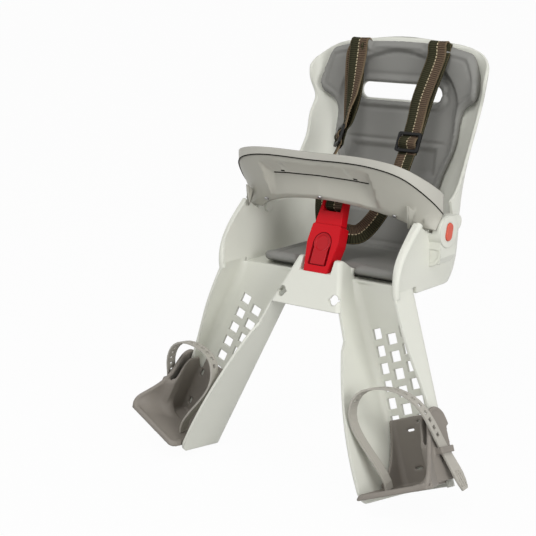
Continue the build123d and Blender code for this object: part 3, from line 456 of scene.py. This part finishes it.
def shade_round(mesh):
    """Shades a mesh smooth between its hard edges."""
    for face in mesh.polygons:
        face.use_smooth = True
    mesh.set_sharp_from_angle(angle=hard_edge)


def plain_finish(name, colour, roughness, sheen=0.5, metal=0.0):
    """Finish of one even colour."""
    material = bpy.data.materials.new(name)
    material.use_nodes = True
    shader = material.node_tree.nodes["Principled BSDF"]
    shader.inputs["Base Color"].default_value = colour
    shader.inputs["Roughness"].default_value = roughness
    shader.inputs["Specular IOR Level"].default_value = sheen
    shader.inputs["Metallic"].default_value = metal
    return material


def lay_patch(shape, corners, outward):
    """Adds one flat patch to a bmesh, facing the way given."""
    patch = shape.faces.new([shape.verts.new(corner) for corner in corners])
    patch.normal_update()
    if patch.normal.dot(outward) < 0.0:
        patch.normal_flip()


def thicken(obj, thickness, offset):
    """Gives a flat piece its thickness, inward at an offset of -1 and to both sides at 0."""
    thick = obj.modifiers.new("thickness", "SOLIDIFY")
    thick.thickness = thickness
    thick.offset = offset


bar_grey = moulded_plastic("bar_grey", bar_colour, roughness=0.45, grain_size=1400.0, edge=0.0022)
tray = add_piece("bar_tray", merged_copy("bar_lower"), bar_grey)
cutter = add_piece("scoop", scoop_block(), bar_grey)
cut = tray.modifiers.new("scoop", "BOOLEAN")
cut.operation = "DIFFERENCE"
cut.solver = "EXACT"
cut.object = cutter
apply_modifiers(tray)
bpy.data.objects.remove(cutter)
shade_round(tray.data)
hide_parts("bar_lower")
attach(tray, "safety_bar")
cover_grey = moulded_plastic("cover_grey", cover_colour, roughness=0.45, grain_size=1400.0, edge=0.0022)
dress(["bar_cover"], cover_grey)

# Painted shade: near-black strips along the parting line and the ledge, and patches under the ledge at
# the clips.
groove = bmesh.new()
cover_solid = merged_copy("bar_cover")
cover_solid.normal_update()
for edge in cover_solid.edges:
    heights = [(vert.co - bar_pivot).dot(bar_up) for vert in edge.verts]
    on_seam = all(abs(height - bar_parting) < seam_slack for height in heights)
    walls = [face.normal for face in edge.link_faces if abs(face.normal.dot(bar_up)) < seam_wall_lean]
    if on_seam and len(walls) == 1:
        start, end = (vert.co + walls[0] * seam_lift for vert in edge.verts)
        corners = [start - bar_up * seam_half, end - bar_up * seam_half]
        corners += [end + bar_up * seam_half, start + bar_up * seam_half]
        lay_patch(groove, corners, walls[0])
cover_solid.free()
for step in range(-ledge_steps, ledge_steps):
    places = [scoop_face(across * ledge_step, scoop_top) for across in (step, step + 1)]
    near, far = (place + bar_fore * ledge_lift for place in places)
    corners = [near, far, far - bar_up * 2 * seam_half, near - bar_up * 2 * seam_half]
    lay_patch(groove, corners, bar_fore)
for middle in (-clip_place, clip_place):
    places = [scoop_face(middle + half, scoop_top) for half in (-clip_half, clip_half)]
    near, far = (place - bar_up * ledge_lift for place in places)
    corners = [near + bar_fore * clip_back, far + bar_fore * clip_back]
    corners += [far + bar_fore * clip_front, near + bar_fore * clip_front]
    lay_patch(groove, corners, -bar_up)
bmesh.ops.remove_doubles(groove, verts=groove.verts, dist=line_merge)
groove_painted_shade = plain_finish("groove_painted_shade", bar_painted_shade_colour, roughness=0.9, sheen=0.05)
bar_painted_shade = add_piece("bar_painted_shade", groove, groove_painted_shade)
thicken(bar_painted_shade, line_thickness, offset=-1.0)
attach(bar_painted_shade, "safety_bar")

# Release buttons: red-orange ovals of hard plastic, one at each knuckle. Each slides in a bore of the
# shell on a small spring, and pressing both lets the bar swing up.
button_colour = (0.62, 0.10, 0.06, 1)
button_red = moulded_plastic("button_red", button_colour, roughness=0.3, grain_size=900.0, edge=0.001)
dress(["release_button_left", "release_button_right"], button_red)

# Buckle: a glossy red moulding screwed to the front panel, with a press button on a spring and a tongue
# that goes in from above. The button is a darker red, painted shade for its dished recess, and a fine
# dark-red strip of painted shade runs round the pocket that the button sits in, for the shadow in its
# gap.
buckle_colour = (0.56, 0.005, 0.012, 1)
press_painted_shade_colour = (0.44, 0.004, 0.010, 1)
pocket_painted_shade_colour = (0.10, 0.002, 0.004, 1)
buckle_foot = Vector((0.0, 0.0291, 0.0243))
buckle_up = Vector((0.0, 0.416, 0.909))
buckle_out = Vector((0.0, -0.909, 0.416))
pocket_half = 0.0145
pocket_span = (0.004, 0.052)
pocket_rise = 0.008
pocket_line = 0.0008
pocket_lift = 0.0002
pocket_line_thickness = 0.0004
rim_facing = 0.9
wall_facing = 0.3
red = moulded_plastic(
    "buckle_red", buckle_colour, roughness=0.34, grain_size=900.0, edge=0.0012, sheen=0.12
)
dress(["buckle_body", "buckle_tongue"], red)
# The press button's darker red is painted shade for its dished recess.
press_red_painted_shade = moulded_plastic(
    "press_red_painted_shade", press_painted_shade_colour, roughness=0.3, grain_size=900.0, edge=0.0012, sheen=0.2
)
dress(["buckle_button"], press_red_painted_shade)


def in_pocket(place):
    """Whether a spot of the buckle lies on the front edge of the button's pocket."""
    spot = place - buckle_foot
    inside_across = abs(spot.x) < pocket_half and pocket_span[0] < spot.dot(buckle_up) < pocket_span[1]
    return inside_across and spot.dot(buckle_out) > pocket_rise


# Painted shade: a thin dark-red strip round the button's pocket, for the shadow in its gap.
gap = bmesh.new()
body_solid = merged_copy("buckle_body")
body_solid.normal_update()
for edge in body_solid.edges:
    facing = [abs(face.normal.dot(buckle_out)) for face in edge.link_faces]
    on_rim = len(facing) == 2 and max(facing) > rim_facing and min(facing) < wall_facing
    if on_rim and in_pocket((edge.verts[0].co + edge.verts[1].co) / 2):
        wall = edge.link_faces[facing.index(min(facing))].normal
        near = [vert.co + buckle_out * pocket_lift for vert in edge.verts]
        corners = near + [corner - wall * pocket_line for corner in reversed(near)]
        lay_patch(gap, corners, buckle_out)
body_solid.free()
bmesh.ops.remove_doubles(gap, verts=gap.verts, dist=line_merge)
gap_painted_shade = plain_finish("gap_painted_shade", pocket_painted_shade_colour, roughness=0.8, sheen=0.05)
pocket_painted_shade = add_piece("pocket_painted_shade", gap, gap_painted_shade)
thicken(pocket_painted_shade, pocket_line_thickness, offset=-1.0)
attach(pocket_painted_shade, "seat")

# Shoulder straps: 25 mm woven polyester, olive on one half and brown on the other, with a dashed cream
# stitch down the middle and tan selvedges. A second layer runs behind the first down to the adjuster,
# where the strap on the sitter's right hangs turned.
strap_width = 0.025
strap_thickness = 0.0016
strap_crown = 0.0004
strap_olive = (0.062, 0.062, 0.032, 1.0)
strap_brown = (0.190, 0.130, 0.088, 1.0)
strap_cream = (0.52, 0.44, 0.29, 1.0)
strap_tan = (0.20, 0.15, 0.09, 1.0)
strap_shadow = (0.012, 0.009, 0.006, 1.0)
strap_rib = 0.0026
strap_thread = 0.0011
strap_rib_depth = 0.0003
strap_dash = 0.0042
dash_share = 0.6
stitch_half = 0.0007
selvedge_start = 0.0110
rib_contrast = 0.44
rib_lift = 0.10
rib_shadow = 0.62
strap_x = 0.060
strap_slot = 0.288
strap_bend = Vector((strap_x, 0.1905, 0.280))
strap_turn = radians(-46.0)
strap_turn_fade = (0.025, 0.095)
adjuster = Vector((0.0535, 0.142, 0.180))
adjuster_out = (strap_bend - adjuster).cross(Vector((-1, 0, 0))).normalized()
adjuster_up = adjuster_out.cross(Vector((1, 0, 0))).normalized()
level = (1, 0, 0)


def webbing_group():
    """Node group for woven webbing on a UV map in metres: a colour and a thread height."""
    group = bpy.data.node_groups.new("webbing_weave", "ShaderNodeTree")
    group.interface.new_socket("Colour", in_out="OUTPUT", socket_type="NodeSocketColor")
    group.interface.new_socket("Height", in_out="OUTPUT", socket_type="NodeSocketFloat")
    outlet = group.nodes.new("NodeGroupOutput")
    place = group.nodes.new("ShaderNodeUVMap")
    place.uv_map = "weave"
    split = group.nodes.new("ShaderNodeSeparateXYZ")
    group.links.new(place.outputs["UV"], split.inputs["Vector"])

    def sum_of(operation, first, second=0.0, third=0.0):
        """Math node on sockets or numbers."""
        node = group.nodes.new("ShaderNodeMath")
        node.operation = operation
        for socket, value in zip(node.inputs, (first, second, third)):
            if isinstance(value, (int, float)):
                socket.default_value = value
            else:
                group.links.new(value, socket)
        return node.outputs["Value"]

    def blend_of(factor, first, second):
        """Colour mix; first and second are colours or sockets."""
        node = group.nodes.new("ShaderNodeMix")
        node.data_type = "RGBA"
        group.links.new(factor, node.inputs["Factor"])
        for socket, value in ((node.inputs["A"], first), (node.inputs["B"], second)):
            if isinstance(value, tuple):
                socket.default_value = value
            else:
                group.links.new(value, socket)
        return node.outputs["Result"]

    across, along = split.outputs["X"], split.outputs["Y"]
    ribs = sum_of("SINE", sum_of("MULTIPLY", along, 2.0 * math.pi / strap_rib))
    threads = sum_of("SINE", sum_of("MULTIPLY", across, 2.0 * math.pi / strap_thread))
    weave = sum_of("MULTIPLY", ribs, sum_of("MULTIPLY_ADD", threads, 0.35, 0.65))
    off_middle = sum_of("ABSOLUTE", across)
    brown_side = sum_of("GREATER_THAN", across, 0.0)
    dash_on = sum_of("LESS_THAN", sum_of("FRACT", sum_of("DIVIDE", along, strap_dash)), dash_share)
    stitch = sum_of("MULTIPLY", sum_of("LESS_THAN", off_middle, stitch_half), dash_on)
    fleck = sum_of("GREATER_THAN", threads, 0.2)
    selvedge = sum_of("MULTIPLY", sum_of("GREATER_THAN", off_middle, selvedge_start), fleck)
    colour = blend_of(brown_side, strap_olive, strap_brown)
    shade = sum_of("MULTIPLY_ADD", weave, rib_contrast, rib_lift)
    colour = blend_of(sum_of("SUBTRACT", rib_shadow, shade), colour, strap_shadow)
    colour = blend_of(selvedge, colour, strap_tan)
    colour = blend_of(stitch, colour, strap_cream)
    group.links.new(colour, outlet.inputs["Colour"])
    group.links.new(sum_of("ADD", weave, stitch), outlet.inputs["Height"])
    return group


webbing_weave = webbing_group()
webbing = bpy.data.materials.new("webbing")
webbing.use_nodes = True
webbing_tree = webbing.node_tree
webbing_shader = webbing_tree.nodes["Principled BSDF"]
webbing_shader.inputs["Roughness"].default_value = 0.85
webbing_shader.inputs["Specular IOR Level"].default_value = 0.1
weave_node = webbing_tree.nodes.new("ShaderNodeGroup")
weave_node.node_tree = webbing_weave
weave_bump = webbing_tree.nodes.new("ShaderNodeBump")
weave_bump.inputs["Distance"].default_value = strap_rib_depth
webbing_tree.links.new(weave_node.outputs["Colour"], webbing_shader.inputs["Base Color"])
webbing_tree.links.new(weave_node.outputs["Height"], weave_bump.inputs["Height"])
webbing_tree.links.new(weave_bump.outputs["Normal"], webbing_shader.inputs["Normal"])


def smooth_route(stops, pieces=8):
    """Close points on a smooth curve through stops, each a place and the direction across."""
    route = []
    for index in range(len(stops) - 1):
        before, start, end, after = (
            stops[min(max(index + shift, 0), len(stops) - 1)] for shift in (-1, 0, 1, 2)
        )
        for piece in range(pieces):
            share = piece / pieces
            point = []
            for p0, p1, p2, p3 in zip(before, start, end, after):
                bend = (2 * p0 - 5 * p1 + 4 * p2 - p3) * share
                bend += (3 * p1 - p0 - 3 * p2 + p3) * share * share
                point.append(p1 + 0.5 * share * (p2 - p0 + bend))
            route.append(point)
    return route + [list(stops[-1])]


def lay_band(shape, stops, brown):
    """Adds a flat band of webbing along stops to a bmesh, with its brown half on the side given."""
    route = smooth_route([(Vector(place), Vector(across)) for place, across in stops])
    weave = shape.loops.layers.uv.verify()
    length = [0.0]
    for (start, _), (end, _) in zip(route, route[1:]):
        length.append(length[-1] + (end - start).length)
    grid = bmesh.ops.create_grid(shape, x_segments=4, y_segments=len(route) - 1, size=0.5)
    spots = {}
    for vert in grid["verts"]:
        row = round((vert.co.y + 0.5) * (len(route) - 1))
        side = vert.co.x * strap_width
        place, across = route[row]
        ahead = route[min(row + 1, len(route) - 1)][0] - route[max(row - 1, 0)][0]
        flat = (across - ahead * (across.dot(ahead) / ahead.length_squared)).normalized()
        crown = flat.cross(ahead).normalized() * strap_crown * (1.0 - (2.0 * vert.co.x) ** 2)
        spots[vert] = (brown * side, length[row])
        vert.co = place + flat * side + crown
    for vert in grid["verts"]:
        for loop in vert.link_loops:
            loop.face.smooth = True
            loop[weave].uv = spots[vert]


def webbing_piece(name, bands, replaced):
    """Straps of woven webbing in one piece, in place of CAD straps; the second one is turned over."""
    shape = bmesh.new()
    shape.loops.layers.uv.new("weave")
    for index, stops in enumerate(bands):
        lay_band(shape, stops, brown=-1 if index == 1 else 1)
    obj = add_piece(name, shape, webbing)
    thicken(obj, strap_thickness, offset=0.0)
    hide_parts(replaced)
    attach(obj, "seat")


def turned(place, across):
    """Stop of the strap on the sitter's right, which hangs turned at its adjuster and flat above it."""
    centre = Vector((-adjuster.x, adjuster.y, adjuster.z))
    place = Vector(place)
    share = 1.0 - ease(abs(place.z - centre.z), *strap_turn_fade)
    spin = Matrix.Rotation(strap_turn * share, 3, adjuster_up)
    return centre + spin @ (place - centre), spin @ Vector(across)


def at_adjuster(along, lift, shift=0.0):
    """Place near the adjuster: up the strap, out of its face and sideways."""
    return adjuster + adjuster_up * along + adjuster_out * lift + Vector((shift, 0, 0))


front_layer = [
    ((strap_x, 0.217, strap_slot), level),
    ((strap_x, 0.2105, strap_slot + 0.002), level),
    ((strap_x, 0.2060, strap_slot + 0.0105), level),
    ((strap_x, 0.2000, strap_slot + 0.0150), level),
    ((strap_x, 0.1940, strap_slot + 0.0105), (1, 0.1, 0)),
    (strap_bend, (1, 0.15, 0)),
    (at_adjuster(0.062, -0.0015), (1, 0.1, 0)),
    (at_adjuster(0.034, -0.0026), level),
    (at_adjuster(0.0225, -0.0029), level),
    (at_adjuster(0.0155, -0.0029), level),
    (at_adjuster(0.0092, -0.0029), level),
    (at_adjuster(0.0030, 0.0029), level),
    (at_adjuster(-0.0030, 0.0029), level),
    (at_adjuster(-0.0092, -0.0029), level),
    (at_adjuster(-0.0155, -0.0029), level),
]
rear_layer = [
    ((strap_x + 0.003, 0.2050, strap_slot + 0.0070), level),
    ((strap_x + 0.004, 0.2010, strap_slot + 0.0115), level),
    ((strap_x + 0.005, 0.1965, strap_slot + 0.0060), (0.9, 0.3, 0)),
    (strap_bend + Vector((0.0065, 0.0040, -0.006)), (0.8, -0.45, 0)),
    (strap_bend.lerp(adjuster, 0.45) + Vector((0.0060, 0.0080, 0.0)), (0.75, -0.6, 0)),
    (at_adjuster(0.022, -0.0080, 0.003), (0.9, -0.3, 0)),
    (at_adjuster(0.006, -0.0062, 0.001), level),
    (at_adjuster(-0.014, -0.0060, 0.0), level),
]
for side, hand in hands:
    layers = []
    for layer, lean in ((front_layer, 1), (rear_layer, side)):
        stops = []
        for (x, y, z), (across_x, across_y, across_z) in layer:
            stops.append(((side * x, y, z), (across_x, lean * across_y, across_z)))
        layers.append([turned(*stop) for stop in stops] if side < 0 else stops)
    webbing_piece(f"shoulder_webbing_{hand}", layers, f"shoulder_strap_{hand}")

# Lap strap: the same webbing. One band is looped round the tongue's bar and sewn behind the buckle, and
# from there a band goes up each side to the adjusters.
tongue_loop = [(50, -8.8), (66, -8.8), (77, -8.3), (84, -6.4), (89, -3.4), (93.5, -0.6), (93.5, 6.2)]
tongue_loop += [(92, 7.2), (84.5, 7.2), (81.5, 3.0), (80.5, -2.2), (76.5, -5.6), (70, -6.3)]


def at_buckle(along, lift):
    """Place by the buckle in millimetres: up its middle line and out of its face."""
    return buckle_foot + buckle_up * (along / 1000) + buckle_out * (lift / 1000)


lap_left = [
    (at_buckle(58, -9.2), (0.3, 0, -1)),
    (Vector((0.027, 0.076, 0.070)), (0.75, 0, -0.65)),
    (Vector((0.047, 0.100, 0.105)), (1, 0, -0.2)),
    (Vector((0.0535, 0.122, 0.142)), level),
    (at_adjuster(-0.016, -0.0029), level),
]
lap_right = []
for (x, y, z), (across_x, across_y, across_z) in lap_left:
    lap_right.append(turned((-x, y, z), (across_x, across_y, -across_z)))
lap_loop = [(at_buckle(along, lift), level) for along, lift in tongue_loop]
webbing_piece("lap_webbing", [lap_loop, lap_left, lap_right], "lap_strap")

# Adjusters and anchors: black acetal. A three-bar slide sits on each shoulder strap, the one on the
# sitter's right turned with its strap, and a bar behind the back holds the end of each strap.
black_colour = (0.010, 0.010, 0.010, 1)
black = moulded_plastic(
    "black_plastic", black_colour, roughness=0.4, grain_size=900.0, edge=0.001, sheen=0.15
)
dress(["adjuster_left", "strap_anchor_left", "strap_anchor_right"], black)
slide = merged_copy("adjuster_right")
for vert in slide.verts:
    vert.co = turned(vert.co, level)[0]
turned_slide = add_piece("turned_slide", slide, black)
shade_round(turned_slide.data)
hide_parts("adjuster_right")
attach(turned_slide, "seat")

# Footrests: warm-grey mouldings that slide in the leg channels. A concave wall sweeps from the sole out
# to the ear, and its free edge is rolled into a thick round rim.
rest_colour = (0.250, 0.227, 0.200, 1.0)
leg_start = Vector((0.1063, 0.033, -0.043))
leg_out = Vector((0.929133, 0.0, 0.369747))
leg_fore = Vector((-0.053631, -0.989425, 0.134768))
leg_down = Vector((0.365837, -0.145047, -0.919307))
rest_sole = 0.1757
rest_round = 0.024
rest_heel = 0.034
rest_length = 0.049
rest_wall_line = [(0.034, 0.0418), (0.042, 0.0420), (0.046, 0.0455), (0.050, 0.0518), (0.054, 0.0545)]
rest_wall_line += [(0.058, 0.0565), (0.066, 0.0600), (0.075, 0.0637), (0.083, 0.0650)]
rest_top_line = [(0.034, 0.102), (0.044, 0.126), (0.050, 0.136), (0.058, 0.1455), (0.066, 0.154)]
rest_top_line += [(0.075, 0.1625), (0.083, 0.1700)]
rest_rim = [(0.0546, 0.004, 0.114), (0.0546, 0.010, 0.099), (0.0546, 0.022, 0.0925)]
rest_rim += [(0.0546, 0.034, 0.0985), (0.0546, 0.043, 0.123), (0.0562, 0.050, 0.136)]
rest_rim += [(0.0592, 0.058, 0.146), (0.0627, 0.066, 0.1545), (0.0660, 0.0745, 0.1625)]
rest_rim += [(0.0666, 0.0785, 0.1675), (0.0650, 0.0815, 0.1735), (0.0580, 0.0820, 0.1756)]
rest_rim += [(0.0500, 0.0834, 0.1758)]
rest_rim_radius = 0.0030
rest_wall = 0.0030
rest_voxel = 0.0011
rest_rounds = 4
bead_merge = 0.00001
bead_lean = 0.95


def in_leg(side, out, fore, down):
    """Place in a leg channel: outward, forward and down the leg, on the side given."""
    place = leg_start + leg_out * out + leg_fore * fore + leg_down * down
    return Vector((side * place.x, place.y, place.z))


def lay_tube(shape, path, radius, sides=10):
    """Adds a round bead along a path to a bmesh, open at its ends."""
    route = [place for place, _ in smooth_route([(place, Vector(level)) for place in path])]
    grid = bmesh.ops.create_grid(shape, x_segments=sides, y_segments=len(route) - 1, size=0.5)
    for vert in grid["verts"]:
        row = round((vert.co.y + 0.5) * (len(route) - 1))
        turn = 2.0 * math.pi * (vert.co.x + 0.5)
        ahead = (route[min(row + 1, len(route) - 1)] - route[max(row - 1, 0)]).normalized()
        runs_out = abs(ahead.dot(leg_out)) > bead_lean
        aside = ahead.orthogonal() if runs_out else ahead.cross(leg_out).normalized()
        rise = aside.cross(ahead)
        vert.co = route[row] + (aside * math.cos(turn) + rise * math.sin(turn)) * radius
    bmesh.ops.remove_doubles(shape, verts=grid["verts"], dist=bead_merge)


def close_ends(shape):
    """Fills the open ends of a bmesh and turns its faces outward."""
    bmesh.ops.holes_fill(shape, edges=[edge for edge in shape.edges if edge.is_boundary], sides=0)
    bmesh.ops.recalc_face_normals(shape, faces=shape.faces)


def add_scoop(shape, side):
    """Adds the concave wall of one footrest to a bmesh, with its thickness outward."""
    sheet = bmesh.ops.create_grid(shape, x_segments=18, y_segments=27, size=0.5)
    outer = {}
    for vert in sheet["verts"]:
        fore = rest_heel + (vert.co.y + 0.5) * rest_length
        wall, top = along_line(rest_wall_line, fore), along_line(rest_top_line, fore)
        rise = rest_sole - top
        swing = math.acos(1.0 - min(rise / rest_round, 1.0))
        bend = rest_round * swing
        flat = wall - rest_round * math.sin(swing)
        run = (vert.co.x + 0.5) * (flat + bend + max(rise - rest_round, 0.0))
        turn = min(max((run - flat) / rest_round, 0.0), swing)
        out = min(run, flat) + rest_round * math.sin(turn)
        down = rest_sole - rest_round * (1.0 - math.cos(turn)) - max(run - flat - bend, 0.0)
        vert.co = in_leg(side, out, fore, down)
        out += rest_wall * math.sin(turn)
        down += rest_wall * math.cos(turn)
        outer[tuple(round(value, 6) for value in vert.co)] = in_leg(side, out, fore, down)
    faces = list(dict.fromkeys(face for vert in sheet["verts"] for face in vert.link_faces))
    grown = bmesh.ops.extrude_face_region(shape, geom=faces)["geom"]
    for vert in grown:
        if isinstance(vert, bmesh.types.BMVert):
            vert.co = outer[tuple(round(value, 6) for value in vert.co)]


def rest_moulding(side, hand):
    """One footrest with its scoop and rolled rim, smoothed into a single moulding."""
    shape = merged_copy(f"footrest_{hand}")
    add_scoop(shape, side)
    lay_tube(shape, [in_leg(side, *place) for place in rest_rim], rest_rim_radius)
    close_ends(shape)
    obj = add_piece(f"footrest_moulding_{hand}", shape, rest_grey)
    remesh_evenly(obj, rest_voxel)
    shape = bmesh.new()
    shape.from_mesh(obj.data)
    smooth_out(shape, shape.verts, rest_rounds)
    for face in shape.faces:
        face.smooth = True
    shape.to_mesh(obj.data)
    shape.free()
    return obj


rest_grey = moulded_plastic(
    "footrest_grey", rest_colour, roughness=0.5, grain_size=1200.0, edge=0.0010, sheen=0.2
)
for side, hand in hands:
    footrest = rest_moulding(side, hand)
    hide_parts(f"footrest_{hand}")
    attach(footrest, f"footrest_{hand}")

# Foot straps: holed bands of pale rubber over the instep. One end is fixed in the sole, the other is
# pushed over a peg, and its finger tab has three ribs.
rubber_colour = (0.42, 0.40, 0.355, 1)
tab_start = Vector((0.0662, 0.0202, 0.1670))
tab_end = Vector((0.0691, 0.0153, 0.1860))
tab_rib_places = (-0.0042, 0.0, 0.0042)
tab_rib_stops = (0.0, 0.33, 0.67, 1.0)
tab_rib_spread = 0.75
tab_rib_splay = 0.4
tab_rib_lift = 0.0012
tab_rib_radius = 0.0007
rubber = moulded_plastic("strap_rubber", rubber_colour, roughness=0.6, grain_size=1000.0, edge=0.0008)
dress(["foot_strap_left", "foot_strap_right"], rubber)
for side, hand in hands:
    ribs = bmesh.new()
    for shift in tab_rib_places:
        path = []
        for share in tab_rib_stops:
            out, fore, down = tab_start.lerp(tab_end, share)
            fore += shift * (tab_rib_spread + tab_rib_splay * share)
            path.append(in_leg(side, out + tab_rib_lift, fore, down))
        lay_tube(ribs, path, tab_rib_radius, sides=6)
    close_ends(ribs)
    tab_ribs = add_piece(f"tab_ribs_{hand}", ribs, rubber)
    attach(tab_ribs, f"footrest_{hand}")

# Steel: plated screws under the bar and in the buckle, and the coil springs behind the three buttons. The
# pins that the bar turns on have heads in the shell's ivory.
steel_colour = (0.42, 0.42, 0.43, 1)
steel = plain_finish("steel", steel_colour, roughness=0.35, metal=1.0)
dress(["bar_screws", "buckle_screw"], steel)
dress(["buckle_spring", "release_spring_left", "release_spring_right"], steel)
dress(["pivot_pin_left", "pivot_pin_right"], ivory)

# Studio: a pale floor that the leg channels stand on, a white surround and three large soft lamps. The
# camera stands to the right of the seat's front and looks a little down on it.
floor_colour = (0.62, 0.62, 0.62, 1)
floor_reach = 30.0
floor_drop = 0.0005
floor_glow_share = 0.965
sky_light = 0.41
lamps = (
    ("key", (0.6, -1.7, 2.2), 1.0, 28.0),
    ("side", (2.1, -0.7, 0.7), 1.0, 24.0),
    ("fill", (-1.8, -0.9, 1.2), 1.4, 8.0),
)
lamp_aim = Vector((0, 0.05, 0.05))
film_width = 36.0
photo_width = 536.0
photo_distance = 1380.0
camera_place = (0.9929, -1.3179, 0.4164)
camera_turn = 38.6
camera_dip = 13.0


def seen_directly(tree):
    """Socket that is 1 for what the camera, a reflection or a clear piece shows, and 0 for light."""
    path = tree.nodes.new("ShaderNodeLightPath")
    seen = path.outputs["Is Camera Ray"]
    for name in ("Is Glossy Ray", "Is Transmission Ray"):
        either = tree.nodes.new("ShaderNodeMath")
        either.operation = "MAXIMUM"
        tree.links.new(seen, either.inputs[0])
        tree.links.new(path.outputs[name], either.inputs[1])
        seen = either.outputs["Value"]
    return seen


floor_paint = plain_finish("pale_floor", floor_colour, roughness=0.9)
floor_tree = floor_paint.node_tree
floor_glow = floor_tree.nodes.new("ShaderNodeEmission")
floor_share = floor_tree.nodes.new("ShaderNodeMath")
floor_share.operation = "MULTIPLY"
floor_share.inputs[1].default_value = floor_glow_share
floor_mix = floor_tree.nodes.new("ShaderNodeMixShader")
floor_tree.links.new(seen_directly(floor_tree), floor_share.inputs[0])
floor_tree.links.new(floor_share.outputs["Value"], floor_mix.inputs["Fac"])
floor_tree.links.new(floor_tree.nodes["Principled BSDF"].outputs["BSDF"], floor_mix.inputs[1])
floor_tree.links.new(floor_glow.outputs["Emission"], floor_mix.inputs[2])
floor_tree.links.new(floor_mix.outputs["Shader"], floor_tree.nodes["Material Output"].inputs["Surface"])
floor_sheet = bmesh.new()
bmesh.ops.create_grid(floor_sheet, x_segments=1, y_segments=1, size=floor_reach)
bmesh.ops.translate(floor_sheet, verts=floor_sheet.verts, vec=(0, 0, cad_box[0][2] - floor_drop))
floor = add_piece("floor", floor_sheet, floor_paint)

world = bpy.data.worlds.new("studio")
bpy.context.scene.world = world
world.use_nodes = True
background = world.node_tree.nodes["Background"]
background.inputs["Color"].default_value = (1, 1, 1, 1)
sky_level = world.node_tree.nodes.new("ShaderNodeMapRange")
sky_level.inputs["To Min"].default_value = sky_light
sky_level.inputs["To Max"].default_value = 1.0
world.node_tree.links.new(seen_directly(world.node_tree), sky_level.inputs["Value"])
world.node_tree.links.new(sky_level.outputs["Result"], background.inputs["Strength"])

for name, place, size, power in lamps:
    lamp = bpy.data.lights.new(name, "AREA")
    lamp.size = size
    lamp.energy = power
    holder = bpy.data.objects.new(name, lamp)
    holder.location = place
    holder.rotation_euler = (lamp_aim - Vector(place)).to_track_quat("-Z", "Y").to_euler()
    bpy.context.scene.collection.objects.link(holder)

lens = bpy.data.cameras.new("camera")
lens.sensor_width = film_width
lens.lens = film_width * photo_distance / photo_width
camera = bpy.data.objects.new("camera", lens)
camera.location = camera_place
camera.rotation_euler = (radians(90.0 - camera_dip), 0.0, radians(camera_turn))
bpy.context.scene.collection.objects.link(camera)
bpy.context.scene.camera = camera
bpy.context.scene.view_settings.view_transform = "Standard"
